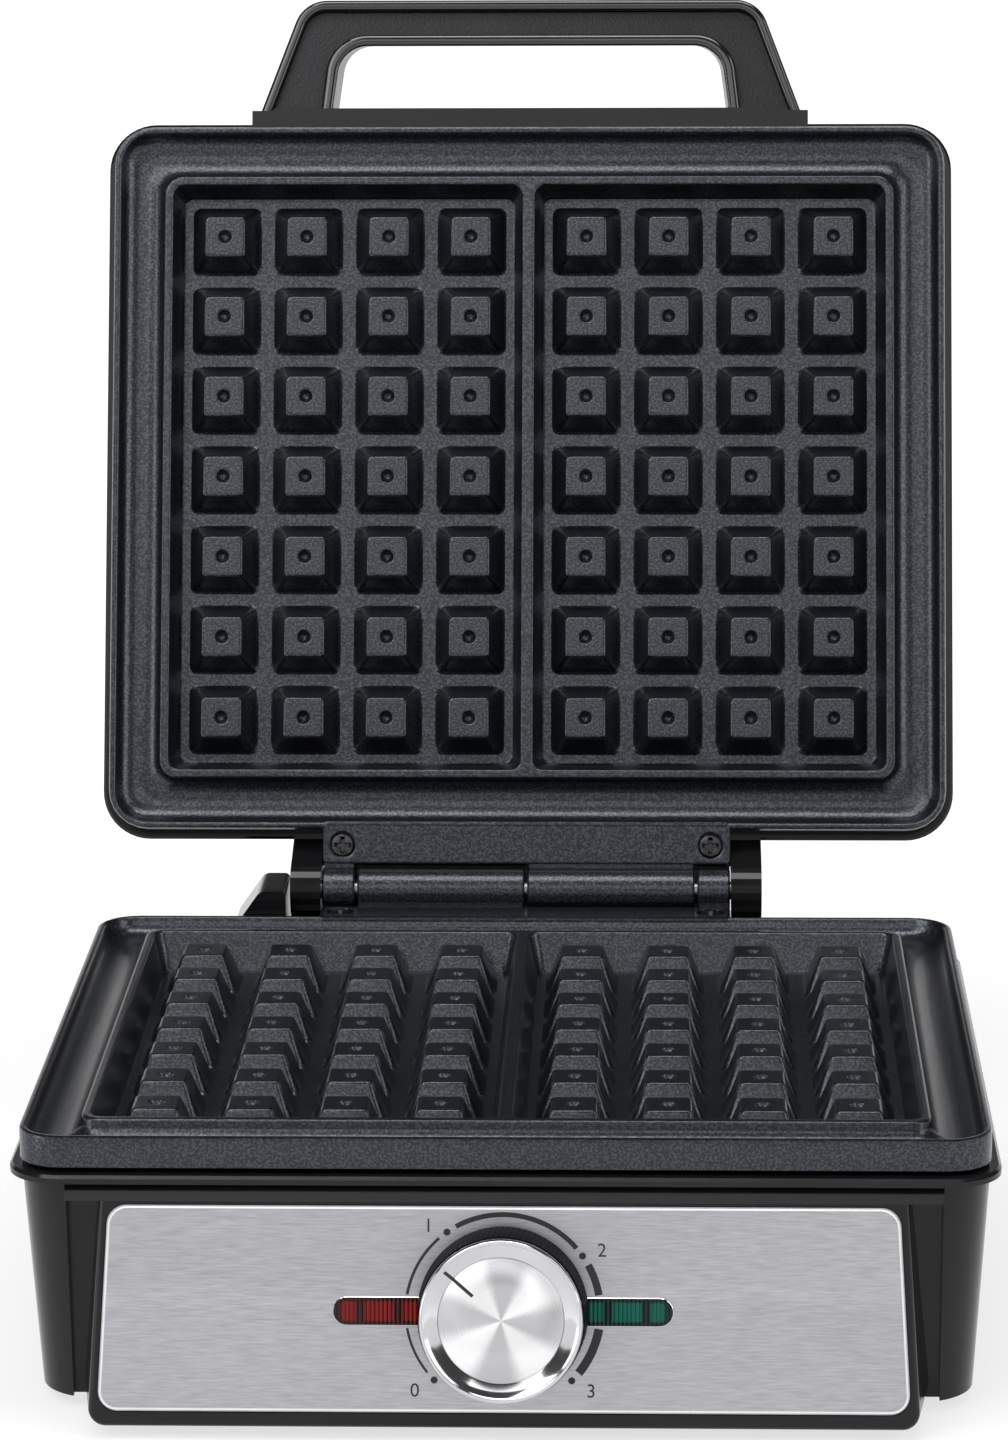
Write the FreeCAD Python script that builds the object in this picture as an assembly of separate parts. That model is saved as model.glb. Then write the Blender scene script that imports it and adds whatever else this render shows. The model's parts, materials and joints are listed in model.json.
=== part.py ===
import FreeCAD, Part
import math
import os

# Twin waffle iron with its lid open. Millimetres, +Z up, +Y to the back, +X to the right.
# The origin is on the table, under the middle of the lower waffle plate.

V = FreeCAD.Vector

# Sides of a round piece whose exact surface no other piece turns in
ROUND_SIDES = 24

# How close an edge must lie to the place where it is looked for
NEAR = 0.01

# Waffle grid, the same on both plates
STUD_PITCH_X = 23.0
STUD_PITCH_Y = 22.55
STUD_COLUMNS = 4
STUD_ROWS = 7
STUD_TOP = 11.0
STUD_BASE = 18.2
STUD_HEIGHT = 9.6
DIMPLE_R = 1.8
DIMPLE_DEPTH = 1.1

# Plate section, from the pocket floor out to the rim
FLOOR_MARGIN = 3.3
POCKET_DRAFT = 2.1
POCKET_R = 3.0
DIVIDER_TOP = 3.4
RIDGE_W = 2.4
RIDGE_R = 4.8
GUTTER_W = 12.0
GUTTER_DEPTH = 5.2
GUTTER_SLOPE = 3.6
RIM_W = 2.1
RIM_R = 10.8
RIM_RISE = 1.0
SKIRT_H = 8.0
FLOOR_T = 3.5
PAN_DRAFT = 1.6

# Hinge: interleaved knuckles cast on the plates, one pin
HINGE_REACH = 16.85
HINGE_RISE = 3.75
CLOSED_GAP = 3.0
OPEN_ANGLE = 107.93
KNUCKLE_R = 6.2
BARREL_W = 46.2
LUG_W = 9.0
KNUCKLE_GAP = 0.8
PIN_R = 2.5
PIN_FIT = 0.05
PIN_END_GAP = 1.7
FLANGE_REACH = 9.75
HINGE_SCREW_IN = 5.4
HINGE_SCREW_REACH = 4.5
SCREW_HEAD_R = 3.5
SCREW_HEAD_H = 2.0
SCREW_SINK = 2.4
SCREW_R = 1.75
SCREW_LENGTH = 14.0
SCREW_FIT = 0.1
CROSS_SPAN = 0.62
CROSS_W = 0.9

# Heating element and its reflector tray, under each plate
ELEMENT_R = 3.3
ELEMENT_X = 62.0
ELEMENT_Y = 58.0
ELEMENT_BEND = 18.0
TERMINAL_DROP = 17.0
TERMINAL_BEND = 8.0
BEND_STEPS = 4
TRAY_GAP = 4.0
TRAY_T = 0.8
TRAY_INSET = 7.0
TRAY_WALL = 6.0
TAB_W = 14.0
TERMINAL_HOLE = 5.5
FUSE_W = 9.0
FUSE_L = 16.0
FUSE_R = 2.4

# Base housing, from the table up
FOOT_H = 3.0
FOOT_R = 8.0
FOOT_FRONT_X = 90.0
FOOT_FRONT_Y = -72.0
FOOT_REAR_X = 56.0
FOOT_FROM_END = 16.0
BASE_H = 57.5
HOUSING_LIP = 2.4
FLANGE_T = 2.0
FLANGE_BEVEL = 0.7
SEAT_GAP = 1.0
SEAT_PAD_L = 12.0
SEAT_PAD_W = 3.0
NECK_INSET_X = 2.2
NECK_INSET_Y = 4.0
BASE_DRAFT_X = 3.2
BASE_DRAFT_Y = 5.8
BASE_R = 15.0
WALL = 2.6
MOUTH_GAP = 5.0
COLUMN_W = 11.9
RECESS_DEPTH = 4.0

# Sloped control console between the front columns
CONSOLE_REACH = 19.8
CONSOLE_H = 53.0
PANEL_TILT = 12.0
CONSOLE_SIDE = 2.25
CONSOLE_FLARE = 0.148
CONSOLE_EDGE_R = 1.6
CONSOLE_CORNER_R = 4.0
PANEL_T = 1.1
PANEL_SINK = 0.7
PANEL_FIT = 0.35
PANEL_LOW = 4.23
PANEL_TOP_MARGIN = 0.85
PANEL_TOP_X = 94.0
PANEL_LOW_X = 96.65
PANEL_R = 4.7

# Dial, lenses and knob on the panel
DIAL_DROP = 0.48
SHAFT_R = 3.0
SHAFT_FIT = 0.05
SHAFT_HOLE_R = 5.0
LENS_END = 40.5
LENS_START = 14.0
LENS_H = 6.9
LENS_FIT = 0.2
LENS_PROUD = 0.3
LENS_FLANGE = 1.6
LENS_FLANGE_T = 1.4
LAMP_X = 30.0
LAMP_R = 2.8
LAMP_L = 16.0
LAMP_SLEEVE = 1.3
LAMP_SLEEVE_L = 6.0
KNOB_GAP = 0.6
KNOB_SIDES = 48
KNOB_BASE_R = 20.4
KNOB_WAIST_R = 19.7
KNOB_RIM_R = 19.3
KNOB_SKIRT_H = 13.6
KNOB_H = 17.0
KNOB_BEAD = 1.1
KNOB_FACE_R = 14.9
KNOB_DISH = 1.6
KNOB_HUB_R = 5.5
RING_T = 1.0
POINTER_ANGLE = 139.0
POINTER_IN = 8.8
POINTER_W = 0.7
POINTER_DEPTH = 0.3

# Thermostat behind the console wall
THERMOSTAT_W = 34.0
THERMOSTAT_L = 30.0
THERMOSTAT_T = 18.0
BRACKET_MARGIN = 3.55
BRACKET_STANDOFF = 5.0
BRACKET_T = 1.2
TAB_L = 6.0
TAB_T = 0.8

# Rear platform under the hinge, with the lead boss on its left
PLATFORM_LEFT = 80.2
PLATFORM_RIGHT = 67.5
PLATFORM_REACH = 26.0
PLATFORM_R = 6.0
STOP_DEPTH = 6.0
BOSS_REACH = 20.0
BOSS_SLOPE_X = 7.4
BOSS_SLOPE_Z = 10.5
BOSS_RISE = 3.6
BOSS_R = 3.0
COVER_T = 2.0
COVER_FIT = 0.4
COVER_BOSS_R = 4.5
COVER_BOSS_H = 14.0
COVER_BOSS_IN = 9.0
BOSS_BITE = 0.6
COVER_REAR_X = 38.0
COVER_SCREW_R = 1.5
COVER_HEAD_R = 3.0
COVER_HEAD_H = 1.2
VENT_L = 46.0
VENT_W = 4.0
VENT_PITCH = 12.0
VENT_COUNT = 5
VENT_X = 45.0
GLAND_UP = 13.0
GLAND_R = 6.0
GLAND_BORE = 3.6
GLAND_COLLAR = 3.0
GLAND_COLLAR_T = 2.4
BLOCK_X = 50.0
BLOCK_Y = 30.0
BLOCK_W = 36.0
BLOCK_L = 16.0
BLOCK_H = 18.0
BLOCK_WELL = 3.0

# Lid housing, its hinge arms and its handle
LID_DEPTH = 38.0
LID_STEP = 0.8
LID_DRAFT = 6.0
LID_EDGE_R = 12.8
ARM_GAP = 0.3
ARM_W = 8.4
EAR_R = 7.5
ARM_ROOT = 24.0
LEDGE_T = 16.0
SHROUD_T = 3.0
STOP_GAP = 0.35
HANDLE_REACH = 37.0
HANDLE_ROOT_X = 78.3
HANDLE_TOP_X = 64.5
HANDLE_TOP_R = 9.5
HANDLE_BAR = 13.1
HANDLE_LEG = 22.0
HANDLE_HOLE_LOW = 4.6
HANDLE_HOLE_LEAN = 2.6
HANDLE_HOLE_R = 8.5
HANDLE_ROOT_R = 2.0
APRON_TOP_X = 72.0
HANDLE_FACE = 7.0
HANDLE_T = 20.0
HANDLE_BEVEL = 3.4
HANDLE_DRAFT = 4.2
CHANNEL_RIM = 2.9
CHANNEL_LIP = 3.2
CHANNEL_DEPTH = 3.2
INSERT_T = 1.2
INSERT_FIT = 0.2
HOOK_T = 1.7
HOOK_W = 5.6
HOOK_FIT = 0.35
GRIP_SCREW_X = 65.0
GRIP_SCREW_R = 2.0
GRIP_HEAD_R = 3.8
GRIP_HEAD_H = 2.4
GRIP_BOSS_R = 5.5
GRIP_BOSS_L = 6.0
GRIP_SCREW_L = 18.0

# Sizes that follow from the ones above
DIVIDER_BASE = DIVIDER_TOP + 2 * POCKET_DRAFT
COLUMN_GAP = STUD_BASE + 2 * FLOOR_MARGIN + DIVIDER_BASE
FLOOR_X = COLUMN_GAP / 2 + (STUD_COLUMNS - 1) * STUD_PITCH_X + STUD_BASE / 2 + FLOOR_MARGIN
FLOOR_Y = (STUD_ROWS - 1) / 2 * STUD_PITCH_Y + STUD_BASE / 2 + FLOOR_MARGIN
RIDGE_X = FLOOR_X + POCKET_DRAFT + RIDGE_W
RIDGE_Y = FLOOR_Y + POCKET_DRAFT + RIDGE_W
RIM_IN_X = RIDGE_X + GUTTER_W
RIM_IN_Y = RIDGE_Y + GUTTER_W
PLATE_X = RIM_IN_X + RIM_W
PLATE_Y = RIM_IN_Y + RIM_W
HOUSING_X = PLATE_X + HOUSING_LIP
HOUSING_Y = PLATE_Y + HOUSING_LIP
HOUSING_R = RIM_R + HOUSING_LIP
SKIRT_BOTTOM = RIM_RISE - SKIRT_H
PAN_BOTTOM = -STUD_HEIGHT - FLOOR_T
ELEMENT_Z = PAN_BOTTOM - ELEMENT_R / math.cos(math.pi / 6)
TRAY_Z = ELEMENT_Z - ELEMENT_R - TRAY_GAP
TRAY_X = RIDGE_X - PAN_DRAFT - TRAY_INSET
TRAY_Y = RIDGE_Y - PAN_DRAFT - TRAY_INSET
LIP_Z = SKIRT_BOTTOM - SEAT_GAP

BASE_BOTTOM = FOOT_H
FLANGE_BOTTOM = BASE_BOTTOM + BASE_H
FLANGE_TOP = FLANGE_BOTTOM + FLANGE_T
STUD_LEVEL = FLANGE_TOP - LIP_Z
NECK_X = HOUSING_X - NECK_INSET_X
NECK_Y = HOUSING_Y - NECK_INSET_Y
FOOTPRINT_X = NECK_X - BASE_DRAFT_X
FOOTPRINT_Y = NECK_Y - BASE_DRAFT_Y
RECESS_X = NECK_X - COLUMN_W
CONSOLE_Y = -FOOTPRINT_Y - CONSOLE_REACH
CONSOLE_TOP = BASE_BOTTOM + CONSOLE_H
PANEL_H = CONSOLE_H / math.cos(math.radians(PANEL_TILT)) - PANEL_LOW - PANEL_TOP_MARGIN
DIAL_UP = PANEL_LOW + PANEL_H / 2 - DIAL_DROP
PLATFORM_END = HOUSING_Y + PLATFORM_REACH

HINGE_Y = PLATE_Y + HINGE_REACH
HINGE_Z = STUD_LEVEL + HINGE_RISE
LUG_END = KNUCKLE_GAP / 2 + BARREL_W + KNUCKLE_GAP + LUG_W
HINGE_SCREW_X = LUG_END - HINGE_SCREW_IN
FLANGE_END = PLATE_Y + FLANGE_REACH
HINGE_SCREW_Y = PLATE_Y + HINGE_SCREW_REACH
ARM_IN = LUG_END + ARM_GAP
ARM_OUT = ARM_IN + ARM_W
LID_BACK = LIP_Z - LID_DEPTH
PANEL_FRONT = PANEL_T - PANEL_SINK
KNOB_LOW = PANEL_FRONT + KNOB_GAP
KNOB_SKIRT_TOP = KNOB_LOW + KNOB_SKIRT_H
KNOB_TOP = KNOB_LOW + KNOB_H


# Building blocks

def box(x0, x1, y0, y1, z0, z1):
    return Part.makeBox(x1 - x0, y1 - y0, z1 - z0, V(x0, y0, z0))


def rod(radius, start, end):
    return Part.makeCylinder(radius, (end - start).Length, start, end - start)


def ring(radius, z, sides):
    """Many-sided outline round the Z axis, flats at the radius."""
    reach = radius / math.cos(math.pi / sides)
    turns = [2 * math.pi * (i + 0.5) / sides for i in range(sides)]
    return [V(reach * math.cos(turn), reach * math.sin(turn), z) for turn in turns]


def peg(radius, start, end, sides=8):
    """Many-sided prism that stands for a small cylinder, flats at the radius."""
    outline = ring(radius, 0, sides)
    shape = Part.Face(Part.makePolygon(outline + outline[:1])).extrude(V(0, 0, (end - start).Length))
    return placed(shape, FreeCAD.Placement(start, FreeCAD.Rotation(V(0, 0, 1), end - start)))


def corner_arc(before, corner, after, radius):
    """Tangent points and arc that round one corner of a path."""
    to_before = (before - corner).normalize()
    to_after = (after - corner).normalize()
    half = to_before.getAngle(to_after) / 2
    back = radius / math.tan(half)
    start = corner + to_before * back
    end = corner + to_after * back
    middle = corner + (to_before + to_after).normalize() * (radius / math.sin(half) - radius)
    return start, Part.Arc(start, middle, end).toShape(), end


def rounded_loop(points, radii, z=0.0):
    """Closed outline through x, y points with a corner radius for each."""
    corners = [V(x, y, z) for x, y in points]
    count = len(corners)
    bends = []
    for i, radius in enumerate(radii):
        sharp = (corners[i], None, corners[i])
        after = corners[(i + 1) % count]
        bends.append(corner_arc(corners[i - 1], corners[i], after, radius) if radius else sharp)
    edges = []
    for i in range(count):
        edges += [bends[i][1]] if bends[i][1] else []
        edges.append(Part.LineSegment(bends[i][2], bends[(i + 1) % count][0]).toShape())
    return Part.Wire(edges)


def rectangle(x0, x1, y0, y1, radius, z):
    return rounded_loop([(x0, y0), (x1, y0), (x1, y1), (x0, y1)], [radius] * 4, z)


def centred(half_x, half_y, radius, z):
    return rectangle(-half_x, half_x, -half_y, half_y, radius, z)


def prism(wire, height):
    return Part.Face(wire).extrude(V(0, 0, height))


def closed_solid(loops):
    """Solid from flat faces, each a loop of corners seen anticlockwise from outside."""
    return Part.makeSolid(Part.makeShell([Part.Face(Part.makePolygon(loop + loop[:1])) for loop in loops]))


def bands(rings):
    """Four-cornered faces between each outline and the next."""
    loops = []
    for low, high in zip(rings, rings[1:]):
        loops += [[low[i - 1], low[i], high[i], high[i - 1]] for i in range(len(low))]
    return loops


def block(low, z0, high, z1):
    """Solid between two four-cornered outlines, with flat sides."""
    bottom = [V(x, y, z0) for x, y in low]
    top = [V(x, y, z1) for x, y in high]
    sides = [[bottom[i - 1], bottom[i], top[i], top[i - 1]] for i in range(4)]
    return closed_solid([bottom[::-1], top] + sides)


def corners(x0, x1, y0, y1):
    return [(x0, y0), (x1, y0), (x1, y1), (x0, y1)]


def around(half_x, half_y):
    return corners(-half_x, half_x, -half_y, half_y)


def tapered(low, z0, high, z1, radius, round_low=False, bevel=False):
    """Block with its four upright edges rounded or bevelled, and its low edges too if asked."""
    solid = block(low, z0, high, z1)
    edges = [e for e in solid.Edges if e.BoundBox.ZLength > abs(z1 - z0) / 2]
    if round_low:
        edges += edges_at(solid, lambda p: p.z < min(z0, z1) + NEAR)
    return solid.makeChamfer(radius, edges) if bevel else solid.makeFillet(radius, edges)


def side_prism(points, x0, x1):
    """Polygon in the Y-Z plane, extruded along X."""
    corners = [V(x0, y, z) for y, z in points]
    return Part.Face(Part.makePolygon(corners + corners[:1])).extrude(V(x1 - x0, 0, 0))


def bar(points, bends, radius):
    """Six-sided bar along straight runs, each bend in short mitred runs."""
    path = [points[0]]
    for i, bend in enumerate(bends, 1):
        path += corner_arc(points[i - 1], points[i], points[i + 1], bend)[1].discretize(BEND_STEPS + 1)
    path.append(points[-1])
    rings = [[path[0] + corner for corner in ring(radius, 0, 6)]]
    for i in range(1, len(path)):
        run = (path[i] - path[i - 1]).normalize()
        last = i == len(path) - 1
        mitre = run if last else run + (path[i + 1] - path[i]).normalize()
        rings.append([p + run * ((path[i] - p).dot(mitre) / run.dot(mitre)) for p in rings[-1]])
    return closed_solid([rings[0][::-1], rings[-1]] + bands(rings))


def turned(profile, sides):
    """Many-sided ring about the Z axis, from radius, height points."""
    rings = [ring(radius, z, sides) for radius, z in profile]
    return closed_solid(bands(rings + rings[:1])).removeSplitter()


def on_dial(shape):
    """From the dial's own axis to the console."""
    return on_panel(placed(shape, FreeCAD.Placement(V(0, DIAL_UP, 0), FreeCAD.Rotation())))


def edges_at(shape, test):
    return [e for e in shape.Edges if all(test(v.Point) for v in e.Vertexes)]


def placed(shape, placement):
    moved = shape.copy()
    moved.Placement = placement.multiply(moved.Placement)
    return moved


def on_base(shape):
    """From the plate's own frame to the base."""
    return placed(shape, FreeCAD.Placement(V(0, 0, STUD_LEVEL), FreeCAD.Rotation()))


def on_lid(shape):
    """From the plate's own frame, face up, to the lid as it stands open."""
    closed = FreeCAD.Placement(V(0, 0, STUD_LEVEL + CLOSED_GAP), FreeCAD.Rotation(V(0, 1, 0), 180))
    axis = V(0, HINGE_Y, HINGE_Z)
    opened = FreeCAD.Placement(V(0, 0, 0), FreeCAD.Rotation(V(1, 0, 0), -OPEN_ANGLE), axis)
    return placed(shape, opened.multiply(closed))


def on_panel(shape):
    """From the console's front plane: x across, y up the slope, z outwards."""
    tilt = FreeCAD.Rotation(V(1, 0, 0), 90 - PANEL_TILT)
    return placed(shape, FreeCAD.Placement(V(0, CONSOLE_Y, BASE_BOTTOM), tilt))


# Waffle plates

def stud_places():
    for side in (-1, 1):
        for column in range(STUD_COLUMNS):
            for row in range(STUD_ROWS):
                x = side * (COLUMN_GAP / 2 + column * STUD_PITCH_X)
                yield x, (row - (STUD_ROWS - 1) / 2) * STUD_PITCH_Y


def stud():
    low, high = STUD_BASE / 2, STUD_TOP / 2
    body = block(around(low, low), -STUD_HEIGHT, around(high, high), 0)
    ring = [V(DIMPLE_R * math.cos(i * math.pi / 3), DIMPLE_R * math.sin(i * math.pi / 3), 0) for i in range(6)]
    tip = V(0, 0, -DIMPLE_DEPTH)
    return body.cut(closed_solid([ring] + [[ring[i], ring[i - 1], tip] for i in range(6)]))


def pockets():
    mouth_y = FLOOR_Y + POCKET_DRAFT
    cuts = []
    for side in (-1, 1):
        low = sorted((side * DIVIDER_BASE / 2, side * FLOOR_X))
        high = sorted((side * DIVIDER_TOP / 2, side * (FLOOR_X + POCKET_DRAFT)))
        cuts.append(tapered(corners(*low, -FLOOR_Y, FLOOR_Y), -STUD_HEIGHT,
                            corners(*high, -mouth_y, mouth_y), RIM_RISE, POCKET_R, bevel=True))
    return cuts


def gutter():
    """Overflow channel with sloped sides between the ridge and the rim."""
    low, run = RIM_RISE - GUTTER_DEPTH, GUTTER_SLOPE
    outer = tapered(around(RIM_IN_X - run, RIM_IN_Y - run), low,
                    around(RIM_IN_X, RIM_IN_Y), RIM_RISE, RIM_R - RIM_W)
    ridge = tapered(around(RIDGE_X + run, RIDGE_Y + run), low, around(RIDGE_X, RIDGE_Y), RIM_RISE, RIDGE_R)
    return outer.cut(ridge)


def knuckles(hinge_z):
    """The casting's long barrel and short lug, with the webs to its flange."""
    barrel = (-KNUCKLE_GAP / 2 - BARREL_W, -KNUCKLE_GAP / 2)
    lug = (LUG_END - LUG_W, LUG_END)
    solids = []
    for x0, x1 in (barrel, lug):
        solids.append(peg(KNUCKLE_R, V(x0, HINGE_Y, hinge_z), V(x1, HINGE_Y, hinge_z), ROUND_SIDES))
        root = FLANGE_END - RIM_W
        web = [(root, SKIRT_BOTTOM), (HINGE_Y, hinge_z - KNUCKLE_R), (HINGE_Y, hinge_z), (root, RIM_RISE)]
        solids.append(side_prism(web, x0, x1))
    return solids


def hinge_screw_places():
    return [V(x, HINGE_SCREW_Y, RIM_RISE) for x in (-HINGE_SCREW_X, HINGE_SCREW_X)]


def cast_plate(hinge_z, bore_r):
    """One plate, face up, stud tops at z = 0, hinge towards +Y."""
    slab = prism(centred(PLATE_X, PLATE_Y, RIM_R, SKIRT_BOTTOM), SKIRT_H)
    pan = tapered(around(RIDGE_X - PAN_DRAFT, RIDGE_Y - PAN_DRAFT), PAN_BOTTOM,
                  around(RIDGE_X, RIDGE_Y), SKIRT_BOTTOM, RIDGE_R, bevel=True)
    flange = box(-LUG_END, LUG_END, RIM_IN_Y, FLANGE_END, SKIRT_BOTTOM, RIM_RISE)
    body = slab.fuse(pan).cut([gutter()] + pockets()).fuse([flange] + knuckles(hinge_z))
    one = stud()
    body = body.fuse([placed(one, FreeCAD.Placement(V(x, y, 0), FreeCAD.Rotation())) for x, y in stud_places()])
    bores = [rod(bore_r, V(-LUG_END, HINGE_Y, hinge_z), V(LUG_END, HINGE_Y, hinge_z))]
    for top in hinge_screw_places():
        bores.append(peg(SCREW_R + SCREW_FIT, top, top - V(0, 0, SKIRT_H)))
        bores.append(peg(SCREW_HEAD_R + SCREW_FIT, top, top - V(0, 0, SCREW_SINK), ROUND_SIDES))
    return body.cut(bores).removeSplitter()


def hinge_screws():
    """Cross-recess screws in the plate's hinge flange."""
    half, thin, deep = SCREW_HEAD_R * CROSS_SPAN, CROSS_W / 2, SCREW_HEAD_H / 2
    screws = []
    for top in hinge_screw_places():
        seat = top - V(0, 0, SCREW_SINK)
        crown = seat + V(0, 0, SCREW_HEAD_H)
        head = peg(SCREW_HEAD_R, seat, crown, ROUND_SIDES)
        for half_x, half_y in ((half, thin), (thin, half)):
            head = head.cut(box(top.x - half_x, top.x + half_x, top.y - half_y, top.y + half_y,
                                crown.z - deep, crown.z))
        screws.append(head.fuse(peg(SCREW_R, seat, seat - V(0, 0, SCREW_LENGTH))))
    return Part.makeCompound(screws)


def hinge_pin():
    reach = ARM_OUT - PIN_END_GAP
    return rod(PIN_R, V(-reach, HINGE_Y, HINGE_Z), V(reach, HINGE_Y, HINGE_Z))


# Heater and reflector, in the plate's frame

def heating_element():
    """Tubular heater bent to a U under the pan, with both ends turned down."""
    drop = V(0, 0, -TERMINAL_DROP)
    loop = [V(-ELEMENT_X, ELEMENT_Y, ELEMENT_Z), V(-ELEMENT_X, -ELEMENT_Y, ELEMENT_Z),
            V(ELEMENT_X, -ELEMENT_Y, ELEMENT_Z), V(ELEMENT_X, ELEMENT_Y, ELEMENT_Z)]
    points = [loop[0] + drop] + loop + [loop[3] + drop]
    return bar(points, [TERMINAL_BEND, ELEMENT_BEND, ELEMENT_BEND, TERMINAL_BEND], ELEMENT_R)


def reflector():
    """Folded tray with four tabs that hang it from the pan."""
    tray = box(-TRAY_X, TRAY_X, -TRAY_Y, TRAY_Y, TRAY_Z, TRAY_Z + TRAY_T + TRAY_WALL)
    inner_x, inner_y = TRAY_X - TRAY_T, TRAY_Y - TRAY_T
    tray = tray.cut(box(-inner_x, inner_x, -inner_y, inner_y, TRAY_Z + TRAY_T, TRAY_Z + TRAY_T + TRAY_WALL))
    tabs, slots = [], []
    for side in (-1, 1):
        for y in (-TRAY_Y / 2, TRAY_Y / 2):
            x0, x1 = sorted((side * TRAY_X, side * inner_x))
            tabs.append(box(x0, x1, y - TAB_W / 2, y + TAB_W / 2, TRAY_Z, PAN_BOTTOM))
        x, gap = side * ELEMENT_X, TERMINAL_HOLE
        slots.append(box(x - gap, x + gap, ELEMENT_Y - gap, ELEMENT_Y + gap, TRAY_Z, TRAY_Z + TRAY_T))
    return tray.fuse(tabs).cut(slots).removeSplitter()


def thermal_fuse():
    """Capsule in a strap, held against the tray's underside."""
    capsule_z = TRAY_Z - FUSE_R
    capsule = peg(FUSE_R, V(-FUSE_L / 2, 0, capsule_z), V(FUSE_L / 2, 0, capsule_z))
    strap = box(-FUSE_W / 2, FUSE_W / 2, -FUSE_W, FUSE_W, TRAY_Z - TRAY_T, TRAY_Z)
    return capsule.fuse(strap).removeSplitter()


# Base

def console_half(y, z, inset):
    """Half width of the console's side wall at one place."""
    front = PANEL_LOW_X + CONSOLE_SIDE
    narrowing = (PANEL_LOW_X - PANEL_TOP_X) / PANEL_H
    run = (z - BASE_BOTTOM) / math.cos(math.radians(PANEL_TILT))
    slope_y = CONSOLE_Y + (z - BASE_BOTTOM) * math.tan(math.radians(PANEL_TILT))
    return front - narrowing * run + CONSOLE_FLARE * (y - slope_y) - inset


def console(inset, rear_y):
    """Wedge with a sloped front; an inset gives its hollow."""
    tilt = math.radians(PANEL_TILT)
    outlines = []
    for z in (BASE_BOTTOM + inset, CONSOLE_TOP - inset):
        y = CONSOLE_Y + (z - BASE_BOTTOM) * math.tan(tilt) + inset / math.cos(tilt)
        near, far = console_half(y, z, inset), console_half(rear_y, z, inset)
        outlines.append([(-near, y), (near, y), (far, rear_y), (-far, rear_y)])
    return block(outlines[0], BASE_BOTTOM + inset, outlines[1], CONSOLE_TOP - inset)


def console_outer():
    body = console(0, -FOOTPRINT_Y + RECESS_DEPTH + WALL)
    slope = math.tan(math.radians(PANEL_TILT))

    def on_front(p):
        return abs(p.y - CONSOLE_Y - (p.z - BASE_BOTTOM) * slope) < NEAR

    under = edges_at(body, lambda p: p.z < BASE_BOTTOM + NEAR)
    body = body.makeFillet(CONSOLE_CORNER_R, [e for e in under if e.BoundBox.YLength > CONSOLE_REACH / 2])
    rim = [e for e in edges_at(body, on_front) if e.BoundBox.ZMin < CONSOLE_TOP - NEAR]
    return body.makeFillet(CONSOLE_EDGE_R, rim)


def panel_outline(grow, z):
    narrowing = (PANEL_LOW_X - PANEL_TOP_X) / PANEL_H
    low, high = PANEL_LOW - grow, PANEL_LOW + PANEL_H + grow
    low_x, top_x = PANEL_LOW_X + grow * (1 + narrowing), PANEL_TOP_X + grow * (1 - narrowing)
    points = [(-low_x, low), (low_x, low), (top_x, high), (-top_x, high)]
    return rounded_loop(points, [PANEL_R + grow] * 4, z)


def lens_outline(side, shrink, z):
    """Window with a round outer end; its inner end is under the knob."""
    half = LENS_H / 2 - shrink
    inner, outer = side * (LENS_START + shrink), side * (LENS_END - shrink - half)
    low, high = DIAL_UP - half, DIAL_UP + half
    tip = V(outer + side * half, DIAL_UP, z)
    edges = [Part.LineSegment(V(inner, high, z), V(inner, low, z)).toShape(),
             Part.LineSegment(V(inner, low, z), V(outer, low, z)).toShape(),
             Part.Arc(V(outer, low, z), tip, V(outer, high, z)).toShape(),
             Part.LineSegment(V(outer, high, z), V(inner, high, z)).toShape()]
    return Part.Wire(edges)


def panel_cuts(low, high):
    """Window and shaft holes through the panel or the console wall."""
    cuts = [prism(lens_outline(side, 0, low), high - low) for side in (-1, 1)]
    cuts.append(peg(SHAFT_HOLE_R, V(0, DIAL_UP, low), V(0, DIAL_UP, high)))
    return cuts


def cover_boss_places():
    x = FOOTPRINT_X - COVER_BOSS_IN
    front, rear = -FOOTPRINT_Y + COVER_BOSS_IN + RECESS_DEPTH, FOOTPRINT_Y - COVER_BOSS_IN
    corners = [(-x, front), (x, front), (x, rear), (-x, rear)]
    rear_end = PLATFORM_END - WALL - COVER_BOSS_R + BOSS_BITE
    return corners + [(s * COVER_REAR_X, rear_end) for s in (-1, 1)]


def platform_outline(inset, radius, z):
    front = FOOTPRINT_Y - 2 * BASE_R
    return rectangle(-PLATFORM_LEFT + inset, PLATFORM_RIGHT - inset, front, PLATFORM_END - inset, radius, z)


def lead_boss():
    """Raised boss at the left of the hinge, where the leads pass to the lid."""
    top = HINGE_Z + BOSS_RISE
    left, right = -PLATFORM_LEFT, -ARM_OUT - 2 * ARM_GAP
    points = [(left, FLANGE_BOTTOM), (left, top - BOSS_SLOPE_Z), (left + BOSS_SLOPE_X, top),
              (right, top), (right, FLANGE_BOTTOM)]
    side = prism(rounded_loop(points, [0, BOSS_R, BOSS_R, BOSS_R / 2, 0]), -BOSS_REACH)
    upright = FreeCAD.Rotation(V(1, 0, 0), 90)
    return placed(side, FreeCAD.Placement(V(0, HOUSING_Y - HOUSING_LIP / 2, 0), upright))


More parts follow.
